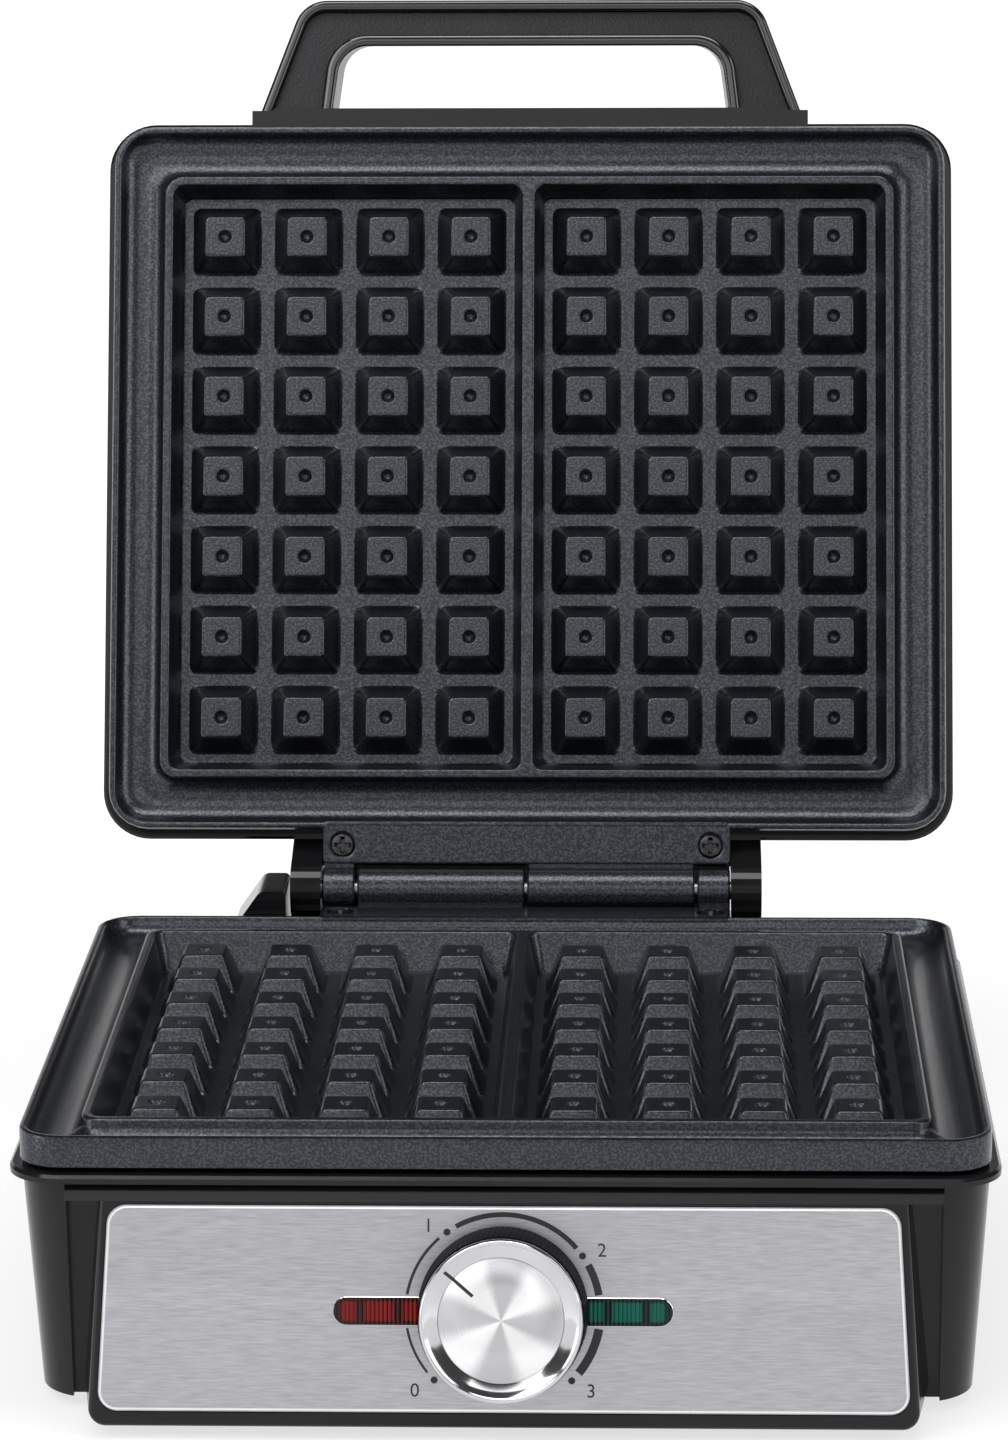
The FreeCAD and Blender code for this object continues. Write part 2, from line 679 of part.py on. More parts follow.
def arm(side, grow):
    """Hinge arm in the lid's frame: from the rear wall to a round ear on the pin."""
    ear = V(0, HINGE_Y, CLOSED_GAP - HINGE_RISE)
    radius = EAR_R + grow
    low_y = HOUSING_Y - LID_DRAFT - WALL
    roots = [(V(0, HOUSING_Y, LIP_Z + grow), 1), (V(0, low_y, LIP_Z - ARM_ROOT - grow), -1)]
    outline = []
    for root, turn in roots:
        away = root - ear
        angle = math.atan2(away.z, away.y) - turn * math.acos(radius / away.Length)
        touch = (ear.y + radius * math.cos(angle), ear.z + radius * math.sin(angle))
        outline.append([(root.y, root.z), touch])
    points = outline[0] + [(ear.y, ear.z)] + outline[1][::-1]
    x0, x1 = sorted((side * ARM_IN, side * ARM_OUT))
    return side_prism(points, x0, x1).fuse(peg(radius, V(x0, ear.y, ear.z), V(x1, ear.y, ear.z), ROUND_SIDES))


def stops():
    """Ribs under the arms of the open lid, just clear of them."""
    ribs = []
    for side in (-1, 1):
        x0, x1 = sorted((side * (ARM_IN + ARM_GAP), side * (ARM_OUT - ARM_GAP)))
        rib = box(x0, x1, PLATFORM_END - STOP_DEPTH, PLATFORM_END, FLANGE_BOTTOM, HINGE_Z)
        ribs.append(rib.cut(on_lid(arm(-side, STOP_GAP))))
    return ribs


def seat_pads(low, high):
    """Low pads beside the mouth that carry a plate's skirt, with a gap all round."""
    edge_x, edge_y = RIDGE_X + MOUTH_GAP, RIDGE_Y + MOUTH_GAP
    pads = []
    for sx in (-1, 1):
        for sy in (-1, 1):
            x = sorted((sx * edge_x, sx * (edge_x + SEAT_PAD_W)))
            y = sorted((sy * RIDGE_Y / 2, sy * (RIDGE_Y / 2 + SEAT_PAD_L)))
            pads.append(box(*x, *y, low, high))
            x = sorted((sx * FLOOR_X, sx * (FLOOR_X - SEAT_PAD_L)))
            y = sorted((sy * edge_y, sy * (edge_y + SEAT_PAD_W)))
            pads.append(box(*x, *y, low, high))
    return pads


def lip_ring(z):
    """Flange that frames a plate, with a bevelled edge on its plate side."""
    ring = prism(centred(HOUSING_X, HOUSING_Y, HOUSING_R, z), FLANGE_T)
    ring = ring.makeChamfer(FLANGE_BEVEL, edges_at(ring, lambda p: p.z > z + FLANGE_T - NEAR))
    return ring.cut(prism(mouth(z), FLANGE_T))


def mouth(z):
    return centred(RIDGE_X + MOUTH_GAP, RIDGE_Y + MOUTH_GAP, 0, z)


def wall_y(z):
    """Half depth of the base's outer wall at one height."""
    return FOOTPRINT_Y + BASE_DRAFT_Y * (z - BASE_BOTTOM) / BASE_H


def base_shell():
    """Outer body of the base, before it is hollowed."""
    walls = tapered(around(FOOTPRINT_X, FOOTPRINT_Y), BASE_BOTTOM,
                    around(NECK_X, NECK_Y), FLANGE_BOTTOM, BASE_R)
    recess = [(CONSOLE_Y, BASE_BOTTOM), (-FOOTPRINT_Y + RECESS_DEPTH, BASE_BOTTOM),
              (-wall_y(CONSOLE_TOP) + RECESS_DEPTH, CONSOLE_TOP), (CONSOLE_Y, CONSOLE_TOP)]
    walls = walls.cut(side_prism(recess, -RECESS_X, RECESS_X))
    crest = CONSOLE_Y + CONSOLE_H * math.tan(math.radians(PANEL_TILT))
    shoulder = [(-wall_y(CONSOLE_TOP) + RECESS_DEPTH, CONSOLE_TOP), (crest, CONSOLE_TOP),
                (-NECK_Y, FLANGE_BOTTOM), (-NECK_Y + RECESS_DEPTH, FLANGE_BOTTOM)]
    platform = prism(platform_outline(0, PLATFORM_R, BASE_BOTTOM), FLANGE_TOP - BASE_BOTTOM)
    return walls.fuse([side_prism(shoulder, -RECESS_X, RECESS_X), console_outer(), platform, lead_boss()])


def base_hollow():
    """Spaces inside the base: main room, plate mouth, platform and console."""
    ends = []
    for half_x, half_y in ((FOOTPRINT_X, FOOTPRINT_Y), (NECK_X, NECK_Y)):
        ends.append(corners(-half_x + WALL, half_x - WALL, -half_y + RECESS_DEPTH + WALL, half_y - WALL))
    room = tapered(ends[0], BASE_BOTTOM, ends[1], FLANGE_BOTTOM, BASE_R - WALL)
    top = prism(mouth(FLANGE_BOTTOM - WALL), FLANGE_T + WALL)
    platform = prism(platform_outline(WALL, 0, BASE_BOTTOM), FLANGE_TOP - WALL - BASE_BOTTOM)
    return [room, top, platform, console(WALL, -FOOTPRINT_Y + RECESS_DEPTH + 2 * WALL)]


def base_housing():
    body = base_shell().cut(base_hollow()).fuse([lip_ring(FLANGE_BOTTOM)] + stops())
    body = body.fuse(seat_pads(FLANGE_BOTTOM, FLANGE_TOP + SEAT_GAP))
    posts, holes = [], []
    for x, y in cover_boss_places():
        seat = V(x, y, BASE_BOTTOM + COVER_T)
        posts.append(peg(COVER_BOSS_R, seat, seat + V(0, 0, COVER_BOSS_H)))
        holes.append(peg(COVER_SCREW_R + SCREW_FIT, seat, seat + V(0, 0, COVER_BOSS_H - WALL)))
    for place in hinge_screw_places():
        seat = V(place.x, place.y, FLANGE_TOP + SEAT_GAP)
        posts.append(peg(SCREW_HEAD_R + SEAT_GAP, seat, seat - V(0, 0, SCREW_LENGTH)))
        holes.append(peg(SCREW_R + SCREW_FIT, seat, seat - V(0, 0, SCREW_LENGTH - WALL)))
    gland = V(0, PLATFORM_END, BASE_BOTTOM + GLAND_UP)
    holes.append(peg(GLAND_R, gland, gland - V(0, WALL, 0), ROUND_SIDES))
    holes.append(on_panel(prism(panel_outline(PANEL_FIT, -PANEL_SINK), PANEL_T)))
    holes += [on_panel(cut) for cut in panel_cuts(-WALL, 0)]
    return body.fuse(posts).cut(holes).removeSplitter()


def foot_places():
    rear = PLATFORM_END - FOOT_FROM_END
    return [(-FOOT_FRONT_X, FOOT_FRONT_Y), (FOOT_FRONT_X, FOOT_FRONT_Y),
            (-FOOT_REAR_X, rear), (FOOT_REAR_X, rear)]


def bottom_cover():
    inset = WALL + COVER_FIT
    front = -FOOTPRINT_Y + RECESS_DEPTH + inset
    plate = prism(rectangle(-FOOTPRINT_X + inset, FOOTPRINT_X - inset, front, FOOTPRINT_Y - inset,
                            BASE_R - WALL, BASE_BOTTOM), COVER_T)
    plate = plate.fuse(prism(platform_outline(inset, 0, BASE_BOTTOM), COVER_T))
    cuts = []
    for x, y in cover_boss_places():
        low = V(x, y, BASE_BOTTOM)
        cuts.append(peg(COVER_SCREW_R + SCREW_FIT, low, low + V(0, 0, COVER_T)))
    for side in (-1, 1):
        for i in range(VENT_COUNT):
            y = (i - (VENT_COUNT - 1) / 2) * VENT_PITCH - VENT_L / 2
            x = side * VENT_X
            cuts.append(box(x - VENT_L / 2, x + VENT_L / 2, y - VENT_W / 2, y + VENT_W / 2,
                            BASE_BOTTOM, BASE_BOTTOM + COVER_T))
    return plate.cut(cuts).removeSplitter()


def cover_screws():
    screws = []
    for x, y in cover_boss_places():
        seat = V(x, y, BASE_BOTTOM)
        shank = peg(COVER_SCREW_R, seat, seat + V(0, 0, COVER_BOSS_H - WALL))
        screws.append(peg(COVER_HEAD_R, seat - V(0, 0, COVER_HEAD_H), seat).fuse(shank))
    return Part.makeCompound(screws)


def rubber_feet():
    """Four pads under the bottom cover."""
    low, high = ring(FOOT_R - FOOT_H / 4, 0, ROUND_SIDES), ring(FOOT_R, FOOT_H, ROUND_SIDES)
    pad = closed_solid([low[::-1], high] + bands([low, high]))
    pads = [placed(pad, FreeCAD.Placement(V(x, y, 0), FreeCAD.Rotation())) for x, y in foot_places()]
    return Part.makeCompound(pads)


# Panel, lenses and lamps

def control_panel():
    plate = prism(panel_outline(0, -PANEL_SINK), PANEL_T)
    return on_panel(plate.cut(panel_cuts(-PANEL_SINK, PANEL_FRONT)).removeSplitter())


def lens(side):
    front = prism(lens_outline(side, LENS_FIT, -WALL), WALL + PANEL_FRONT + LENS_PROUD)
    back = -WALL - LENS_FLANGE_T
    flange = prism(lens_outline(side, -LENS_FLANGE, back), LENS_FLANGE_T)
    middle = V(side * LAMP_X, DIAL_UP, back)
    sleeve = peg(LAMP_R + LAMP_SLEEVE, middle, middle - V(0, 0, LAMP_SLEEVE_L))
    sleeve = sleeve.cut(peg(LAMP_R + SCREW_FIT, middle, middle - V(0, 0, LAMP_SLEEVE_L)))
    return on_panel(front.fuse([flange, sleeve]).removeSplitter())


def lamps():
    back = -WALL - LENS_FLANGE_T
    pair = [peg(LAMP_R, V(x, DIAL_UP, back - LAMP_L), V(x, DIAL_UP, back)) for x in (-LAMP_X, LAMP_X)]
    return on_panel(Part.makeCompound(pair))


# Thermostat and knob, about the dial's axis

def bracket():
    half_x, half_y = THERMOSTAT_W / 2 - BRACKET_T, PANEL_H / 2 - BRACKET_MARGIN
    back = -WALL - BRACKET_STANDOFF
    sheet = box(-half_x, half_x, DIAL_UP - half_y, DIAL_UP + half_y, back - BRACKET_T, back)
    legs = [box(-half_x, half_x, y, y + BRACKET_T, back, -WALL)
            for y in (DIAL_UP - half_y, DIAL_UP + half_y - BRACKET_T)]
    hole = peg(SHAFT_HOLE_R, V(0, DIAL_UP, back - BRACKET_T), V(0, DIAL_UP, back))
    return on_panel(sheet.fuse(legs).cut(hole).removeSplitter())


def thermostat_back():
    return -WALL - BRACKET_STANDOFF - BRACKET_T - THERMOSTAT_T


def thermostat():
    half_x, half_y, back = THERMOSTAT_W / 2, THERMOSTAT_L / 2, thermostat_back()
    body = box(-half_x, half_x, DIAL_UP - half_y, DIAL_UP + half_y, back, back + THERMOSTAT_T)
    tabs = [box(x - TAB_L / 2, x + TAB_L / 2, DIAL_UP - TAB_T, DIAL_UP + TAB_T, back - TAB_L, back)
            for x in (-half_x / 2, half_x / 2)]
    bore = rod(SHAFT_R + SHAFT_FIT, V(0, DIAL_UP, back + THERMOSTAT_T / 2), V(0, DIAL_UP, back + THERMOSTAT_T))
    return on_panel(body.fuse(tabs).cut(bore).removeSplitter())


def thermostat_shaft():
    low = thermostat_back() + THERMOSTAT_T / 2 + KNOB_GAP
    return on_panel(rod(SHAFT_R, V(0, DIAL_UP, low), V(0, DIAL_UP, KNOB_SKIRT_TOP - KNOB_GAP)))


def knob_skirt():
    bore, low = SHAFT_R + SHAFT_FIT, KNOB_LOW + RING_T
    profile = [(bore, low), (KNOB_HUB_R, low), (KNOB_HUB_R, KNOB_LOW), (KNOB_BASE_R, KNOB_LOW),
               (KNOB_WAIST_R, KNOB_SKIRT_TOP), (bore, KNOB_SKIRT_TOP)]
    return on_dial(turned(profile, KNOB_SIDES))


def knob_rim():
    inner = KNOB_FACE_R + SHAFT_FIT
    edge = KNOB_BEAD / 2
    profile = [(inner, KNOB_SKIRT_TOP), (KNOB_RIM_R, KNOB_SKIRT_TOP), (KNOB_RIM_R, KNOB_TOP - edge),
               (KNOB_RIM_R - edge, KNOB_TOP), (KNOB_RIM_R - KNOB_BEAD, KNOB_TOP), (inner, KNOB_TOP - KNOB_DISH)]
    return on_dial(turned(profile, KNOB_SIDES))


def knob_face():
    """Spun metal disc with the pointer's groove."""
    high = KNOB_TOP - KNOB_DISH
    disc = peg(KNOB_FACE_R, V(0, DIAL_UP, KNOB_SKIRT_TOP), V(0, DIAL_UP, high), KNOB_SIDES)
    groove = box(POINTER_IN, KNOB_FACE_R, -POINTER_W / 2, POINTER_W / 2, -POINTER_DEPTH, 0)
    turn = FreeCAD.Rotation(V(0, 0, 1), POINTER_ANGLE)
    return on_panel(disc.cut(placed(groove, FreeCAD.Placement(V(0, DIAL_UP, high), turn))))


def knob_ring():
    """Retaining ring on the shaft, under the knob's hub."""
    low, high = V(0, DIAL_UP, KNOB_LOW), V(0, DIAL_UP, KNOB_LOW + RING_T)
    return on_panel(peg(KNOB_HUB_R - KNOB_GAP, low, high).cut(peg(SHAFT_R + SHAFT_FIT, low, high)))


# Supply side inside the base

def cord_gland():
    """Bush through the platform's rear wall, with a collar outside."""
    centre = V(0, PLATFORM_END, BASE_BOTTOM + GLAND_UP)
    out, through = V(0, GLAND_COLLAR_T, 0), V(0, -WALL - GLAND_COLLAR_T, 0)
    body = peg(GLAND_R, centre, centre + through, ROUND_SIDES)
    collar = peg(GLAND_R + GLAND_COLLAR, centre, centre + out, ROUND_SIDES)
    return body.fuse(collar).cut(rod(GLAND_BORE, centre + out, centre + through)).removeSplitter()


def terminal_block():
    """Three-way block on the bottom cover."""
    low = BASE_BOTTOM + COVER_T
    y0, y1 = BLOCK_Y - BLOCK_L / 2, BLOCK_Y + BLOCK_L / 2
    body = box(BLOCK_X - BLOCK_W / 2, BLOCK_X + BLOCK_W / 2, y0, y1, low, low + BLOCK_H)
    wells = []
    for way in range(3):
        x = BLOCK_X + (way - 1) * BLOCK_W / 3
        wells.append(box(x - BLOCK_WELL, x + BLOCK_WELL, BLOCK_Y - BLOCK_WELL, BLOCK_Y + BLOCK_WELL,
                         low + BLOCK_H / 2, low + BLOCK_H))
    return body.cut(wells)


# Lid housing and handle, in the plate's frame

def lid_outer():
    step = LIP_Z - FLANGE_T
    return tapered(around(HOUSING_X - LID_DRAFT, HOUSING_Y - LID_DRAFT), LID_BACK,
                   around(HOUSING_X - LID_STEP, HOUSING_Y - LID_STEP), step, LID_EDGE_R, True)


def lid_hollow():
    step = LIP_Z - FLANGE_T
    low, high = LID_DRAFT + WALL, LID_STEP + WALL
    return tapered(around(HOUSING_X - low, HOUSING_Y - low), LID_BACK + WALL,
                   around(HOUSING_X - high, HOUSING_Y - high), step, LID_EDGE_R - WALL, True, True)


def grip_screw_places():
    """Seats inside the lid, left and right, for the screws into the handle."""
    y = -(HOUSING_Y - LID_DRAFT - WALL - GRIP_BOSS_L)
    z = LIP_Z - HANDLE_FACE - HANDLE_T / 2
    return [V(x, y, z) for x in (-GRIP_SCREW_X, GRIP_SCREW_X)]


def lid_housing():
    ledge = box(-ARM_OUT, ARM_OUT, HOUSING_Y - LID_DRAFT - WALL, FLANGE_END, LIP_Z - LEDGE_T, LIP_Z)
    shroud = box(-LUG_END, LUG_END, FLANGE_END - SHROUD_T, HINGE_Y + EAR_R, LIP_Z - SHROUD_T, LIP_Z)
    body = lid_outer().fuse([ledge, shroud, arm(-1, 0), arm(1, 0)])
    body = body.cut([lid_hollow(), prism(mouth(LIP_Z - FLANGE_T), FLANGE_T)])
    body = body.fuse([lip_ring(LIP_Z - FLANGE_T)] + seat_pads(LIP_Z - FLANGE_T, SKIRT_BOTTOM))
    posts, holes = [], []
    for seat in grip_screw_places():
        posts.append(peg(GRIP_BOSS_R, seat, seat + V(0, -GRIP_BOSS_L - WALL, 0)))
        holes.append(peg(GRIP_SCREW_R + SCREW_FIT, seat, seat + V(0, -GRIP_SCREW_L, 0)))
    for place in hinge_screw_places():
        seat = V(place.x, place.y, SKIRT_BOTTOM)
        posts.append(peg(SCREW_HEAD_R, seat, seat - V(0, 0, SEAT_GAP + WALL)))
        holes.append(peg(SCREW_R + SCREW_FIT, seat, seat - V(0, 0, SCREW_LENGTH - WALL)))
    bore_end = ARM_OUT - PIN_END_GAP + PIN_FIT
    axis_z = CLOSED_GAP - HINGE_RISE
    holes.append(rod(PIN_R + PIN_FIT, V(-bore_end, HINGE_Y, axis_z), V(bore_end, HINGE_Y, axis_z)))
    return body.fuse(posts).cut(holes).removeSplitter()


def handle_outline(inset, z):
    lean = (HANDLE_ROOT_X - HANDLE_TOP_X) / HANDLE_REACH
    root_y, top_y = -HOUSING_Y + LID_DRAFT, -HOUSING_Y - HANDLE_REACH + inset
    root_x = HANDLE_ROOT_X + lean * LID_DRAFT - inset
    top_x = HANDLE_TOP_X + lean * inset - inset
    points = [(-root_x, root_y), (-top_x, top_y), (top_x, top_y), (root_x, root_y)]
    corner = HANDLE_TOP_R - inset
    return rounded_loop(points, [0, corner, corner, 0], z)


def handle_hole(grow, z, draft=0.0):
    low_y = -HOUSING_Y - HANDLE_HOLE_LOW + grow
    top_y = -HOUSING_Y - HANDLE_REACH + HANDLE_BAR - grow
    low_x = HANDLE_ROOT_X - HANDLE_LEG + grow
    top_x = low_x - HANDLE_HOLE_LEAN * (low_y - top_y + draft) / (low_y - top_y)
    top_y -= draft
    points = [(-low_x, low_y), (-top_x, top_y), (top_x, top_y), (low_x, low_y)]
    return rounded_loop(points, [HANDLE_ROOT_R, HANDLE_HOLE_R + grow, HANDLE_HOLE_R + grow, HANDLE_ROOT_R], z)


def channel(inset, z, height):
    """Recess between the handle's rims, or the insert that lies in it."""
    ring = prism(handle_outline(CHANNEL_RIM + inset, z), height)
    ring = ring.cut(prism(handle_hole(CHANNEL_LIP + inset, z), height))
    near = -HOUSING_Y - HANDLE_HOLE_LOW - inset
    keep = box(-HANDLE_ROOT_X, HANDLE_ROOT_X, near - HANDLE_REACH, near, z, z + height)
    return ring.common(keep)


def handle():
    face, back = LIP_Z - HANDLE_FACE, LIP_Z - HANDLE_FACE - HANDLE_T
    loop = prism(handle_outline(0, back), HANDLE_T)
    low = edges_at(loop, lambda p: p.z < back + NEAR)
    loop = loop.makeChamfer(HANDLE_BEVEL, [e for e in low if e.BoundBox.YMin < -HOUSING_Y])
    loop = loop.cut(Part.makeLoft([handle_hole(0, back, HANDLE_DRAFT), handle_hole(0, face)], True, True))
    loop = loop.cut(channel(0, face - CHANNEL_DEPTH, CHANNEL_DEPTH))
    near = -HOUSING_Y + LID_DRAFT
    crest = -HOUSING_Y - HANDLE_HOLE_LOW
    sides = [(-HANDLE_ROOT_X, near), (-HANDLE_ROOT_X, -HOUSING_Y), (-APRON_TOP_X, crest),
             (APRON_TOP_X, crest), (HANDLE_ROOT_X, -HOUSING_Y), (HANDLE_ROOT_X, near)]
    apron = prism(rounded_loop(sides, [0, 0, HANDLE_ROOT_R, HANDLE_ROOT_R, 0, 0], face - CHANNEL_DEPTH),
                  HANDLE_FACE + CHANNEL_DEPTH)
    hook_y = -PLATE_Y - HOOK_FIT
    hook = box(-HANDLE_ROOT_X, HANDLE_ROOT_X, hook_y - HOOK_W, hook_y, LIP_Z, LIP_Z + HOOK_T)
    lip = prism(centred(HOUSING_X, HOUSING_Y, HOUSING_R, LIP_Z - FLANGE_T), FLANGE_T)
    body = loop.fuse([apron, hook]).cut([lid_outer(), lip])
    pilots = [peg(GRIP_SCREW_R + SCREW_FIT, seat, seat + V(0, -GRIP_SCREW_L, 0))
              for seat in grip_screw_places()]
    return body.cut(pilots).removeSplitter()


def handle_insert():
    return channel(INSERT_FIT, LIP_Z - HANDLE_FACE - CHANNEL_DEPTH, INSERT_T)


def handle_screws():
    screws = []
    for seat in grip_screw_places():
        head = peg(GRIP_HEAD_R, seat, seat + V(0, GRIP_HEAD_H, 0))
        screws.append(head.fuse(peg(GRIP_SCREW_R, seat, seat + V(0, -GRIP_SCREW_L, 0))))
    return Part.makeCompound(screws)


def main():
    parts = {
        "base_housing": base_housing(),
        "bottom_cover": bottom_cover(),
        "cover_screws": cover_screws(),
        "rubber_feet": rubber_feet(),
        "control_panel": control_panel(),
        "power_lens": lens(-1),
        "ready_lens": lens(1),
        "indicator_lamps": lamps(),
        "thermostat_bracket": bracket(),
        "thermostat_body": thermostat(),
        "cord_gland": cord_gland(),
        "terminal_block": terminal_block(),
        "lower_plate": on_base(cast_plate(HINGE_RISE, PIN_R)),
        "lower_plate_screws": on_base(hinge_screws()),
        "lower_element": on_base(heating_element()),
        "lower_reflector": on_base(reflector()),
        "lower_fuse": on_base(thermal_fuse()),
        "hinge_pin": hinge_pin(),
        "lid_housing": on_lid(lid_housing()),
        "upper_plate": on_lid(cast_plate(CLOSED_GAP - HINGE_RISE, PIN_R + PIN_FIT)),
        "upper_plate_screws": on_lid(hinge_screws()),
        "upper_element": on_lid(heating_element()),
        "upper_reflector": on_lid(reflector()),
        "upper_fuse": on_lid(thermal_fuse()),
        "handle": on_lid(handle()),
        "handle_insert": on_lid(handle_insert()),
        "handle_screws": on_lid(handle_screws()),
        "knob_skirt": knob_skirt(),
        "knob_rim": knob_rim(),
        "knob_face": knob_face(),
        "knob_ring": knob_ring(),
        "thermostat_shaft": thermostat_shaft(),
    }
    os.makedirs("parts", exist_ok=True)
    for name, shape in parts.items():
        shape.exportStep("parts/" + name + ".step")


main()
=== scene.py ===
import json
import math

import bmesh
import bpy
from mathutils import Matrix, Vector


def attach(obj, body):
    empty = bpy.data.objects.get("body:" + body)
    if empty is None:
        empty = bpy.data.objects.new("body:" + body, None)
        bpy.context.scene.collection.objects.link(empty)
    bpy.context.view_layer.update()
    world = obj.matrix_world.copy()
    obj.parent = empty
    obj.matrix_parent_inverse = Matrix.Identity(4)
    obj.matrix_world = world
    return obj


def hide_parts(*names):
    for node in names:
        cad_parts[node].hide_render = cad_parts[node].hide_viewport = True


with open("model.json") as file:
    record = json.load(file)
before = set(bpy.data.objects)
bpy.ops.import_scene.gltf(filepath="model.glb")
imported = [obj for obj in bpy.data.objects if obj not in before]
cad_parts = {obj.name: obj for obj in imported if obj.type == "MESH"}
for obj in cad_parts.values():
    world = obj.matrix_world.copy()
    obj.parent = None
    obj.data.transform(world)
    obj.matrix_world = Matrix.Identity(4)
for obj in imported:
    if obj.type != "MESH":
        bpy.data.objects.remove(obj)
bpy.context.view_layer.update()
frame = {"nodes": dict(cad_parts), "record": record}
nodes = frame["nodes"]

# Sizes in millimetres, as in the solids; MM turns them into metres
MM = 0.001
STUD_LEVEL = 70.5
CLOSED_GAP = 3.0
OPEN_ANGLE = math.radians(107.93)
HINGE_Y, HINGE_RISE = 115.5, 3.75

# Studs; the steps of the foot and the crown are (outset, corner radius, height from that end)
COLUMNS, ROWS = 4, 7
PITCH_X, PITCH_Y, COLUMN_GAP = 23.0, 22.55, 32.4
STUD_TOP, STUD_BASE, STUD_HEIGHT = 11.0, 18.2, 9.6
STUD_SOFT, STUD_LOW_R, STUD_HIGH_R, STUD_CORNER_STEPS = 0.9, 1.7, 1.2, 4
STUD_FOOT = ((0.6, 2.2, 0.0), (0.1, 1.9, 0.3))
STUD_CROWN = ((0.12, 1.1, 0.3), (-0.25, 1.0, 0.04), (-0.6, 0.9, 0.0), (-0.9, 0.8, 0.0))

# The dimple's steps are shares of its radius and of its depth
DIMPLE_R, DIMPLE_DEPTH, DIMPLE_TURN = 1.9, 2.0, 0.5
DIMPLE_STEPS = ((1.25, 0.0), (1.1, 0.0), (1.0, 0.06), (0.92, 0.3), (0.65, 0.68), (0.35, 0.9), (0.1, 1.0))

# Pockets, ridge, gutter and rim; soft edges are steps of (outset or inset, drop or rise)
FLOOR_X, FLOOR_Y, POCKET_DRAFT, POCKET_R, POCKET_R_SHARE = 97.6, 80.05, 2.1, 3.0, 0.25
DIVIDER_TOP = 3.4
POCKET_EDGE = ((0.75, 0.0), (0.45, 0.0), (0.12, 0.15), (-0.1, 0.6))
POCKET_FOOT = ((0.0, 0.6), (0.25, 0.15), (0.7, 0.0), (1.0, 0.0))
RIDGE_X, RIDGE_Y, RIDGE_R = 102.1, 84.55, 4.8
RIDGE_EDGE = ((-0.8, 0.0), (-0.5, 0.0), (-0.1, 0.18), (0.12, 0.6))
GUTTER_W, GUTTER_DEPTH, GUTTER_STEPS, GUTTER_FULLNESS = 12.0, 5.2, 12, 0.75
PLATE_Y, RIM_R, RIM_W = 98.65, 10.8, 2.1
RIM_TOP, SKIRT_BOTTOM, PAN_BOTTOM, PAN_INSET = 1.0, -7.0, -13.1, 1.6
RIM_INSIDE = ((0.25, RIM_W, 0.35), (0.8, 1.3, 0.0))
RIM_OUTSIDE = ((0.8, 0.0), (0.2, 0.28), (0.0, 0.9))
SKIRT_EDGE = ((0.0, 0.4), (0.4, 0.0))

# Hinge flange, knuckles and flange screws
LUG_END, LUG_W, BARREL_W, KNUCKLE_GAP = 56.4, 9.0, 46.2, 0.8
KNUCKLE_R, KNUCKLE_BORE, KNUCKLE_SOFT = 6.2, 3.0, 0.5
WEB_INSET, WEB_LIFT, WEB_DROP, WEB_CLEAR = 0.4, 0.3, 0.2, 0.02
FLANGE_END, FLANGE_R = 108.4, 1.0
FLANGE_EDGE = ((0.9, 0.0), (0.6, 0.0), (0.15, 0.2), (0.0, 0.7))
SCREW_X, SCREW_Y, SCREW_HOLE_R, SCREW_HOLE_DEPTH = 51.0, 103.15, 3.6, 2.4
SCREW_HOLE_EDGE = ((0.6, 0.0), (0.35, 0.0), (0.08, 0.12), (0.0, 0.5))
SCREW_HEAD_R, SCREW_SHANK_R, SCREW_SUNK, SCREW_HEAD_H = 3.3, 1.7, 0.35, 2.0
SCREW_HEAD_EDGE = ((0.7, 0.0), (0.35, 0.1), (0.0, 0.6))
CROSS_REACH, CROSS_ARM, CROSS_DEPTH, CROSS_FLOOR = 2.3, 0.6, 1.5, 0.7
HOLE_STEPS, SCREW_STEPS = 40, 32

# Handle, in the lid's frame
LIP_Y, HANDLE_REACH, HANDLE_ROOT_X, HANDLE_TOP_X, HANDLE_TOP_R = 101.05, 37.0, 78.3, 64.5, 9.5
HANDLE_BAR, HANDLE_LEG, HANDLE_HOLE_LOW, HANDLE_HOLE_LEAN, HANDLE_HOLE_R = 13.1, 22.0, 4.6, 2.6, 8.5
HANDLE_FACE_Z, CHANNEL_RIM, CHANNEL_LIP = -15.0, 2.9, 3.2
BEAD_RISE, BEAD_STEPS, HANDLE_CORNER_STEPS = 0.8, 8, 10

# Panel; its bevels are steps of (inset or outset, rise over the front)
PANEL_TILT = math.radians(12.0)
CONSOLE_Y, CONSOLE_Z = -111.05, 3.0
PANEL_LOW, PANEL_H, PANEL_LOW_X, PANEL_TOP_X, PANEL_R = 4.23, 49.1, 96.65, 94.0, 4.7
PANEL_FRONT, PRINT_LIFT = 0.4, 0.03
PANEL_BEVEL = ((0.0, -0.3), (0.3, 0.06), (0.75, 0.03))
WINDOW_BEVEL = ((0.0, 0.02), (0.06, 0.08), (0.15, 0.01))
WINDOW_COVERED, WINDOW_STEPS = 5.0, 16

# Signal lenses
LENS_START, LENS_END, LENS_H, LENS_FRONT, LENS_BACK = 14.2, 40.3, 6.5, 0.7, -2.0
LENS_RIBS, RIB_STEPS, RIB_DEPTH = 26, 4, 0.22
LENS_ACROSS, LENS_TIP_SQUARED = (-1, -0.5, 0, 0.5, 1), 0.05

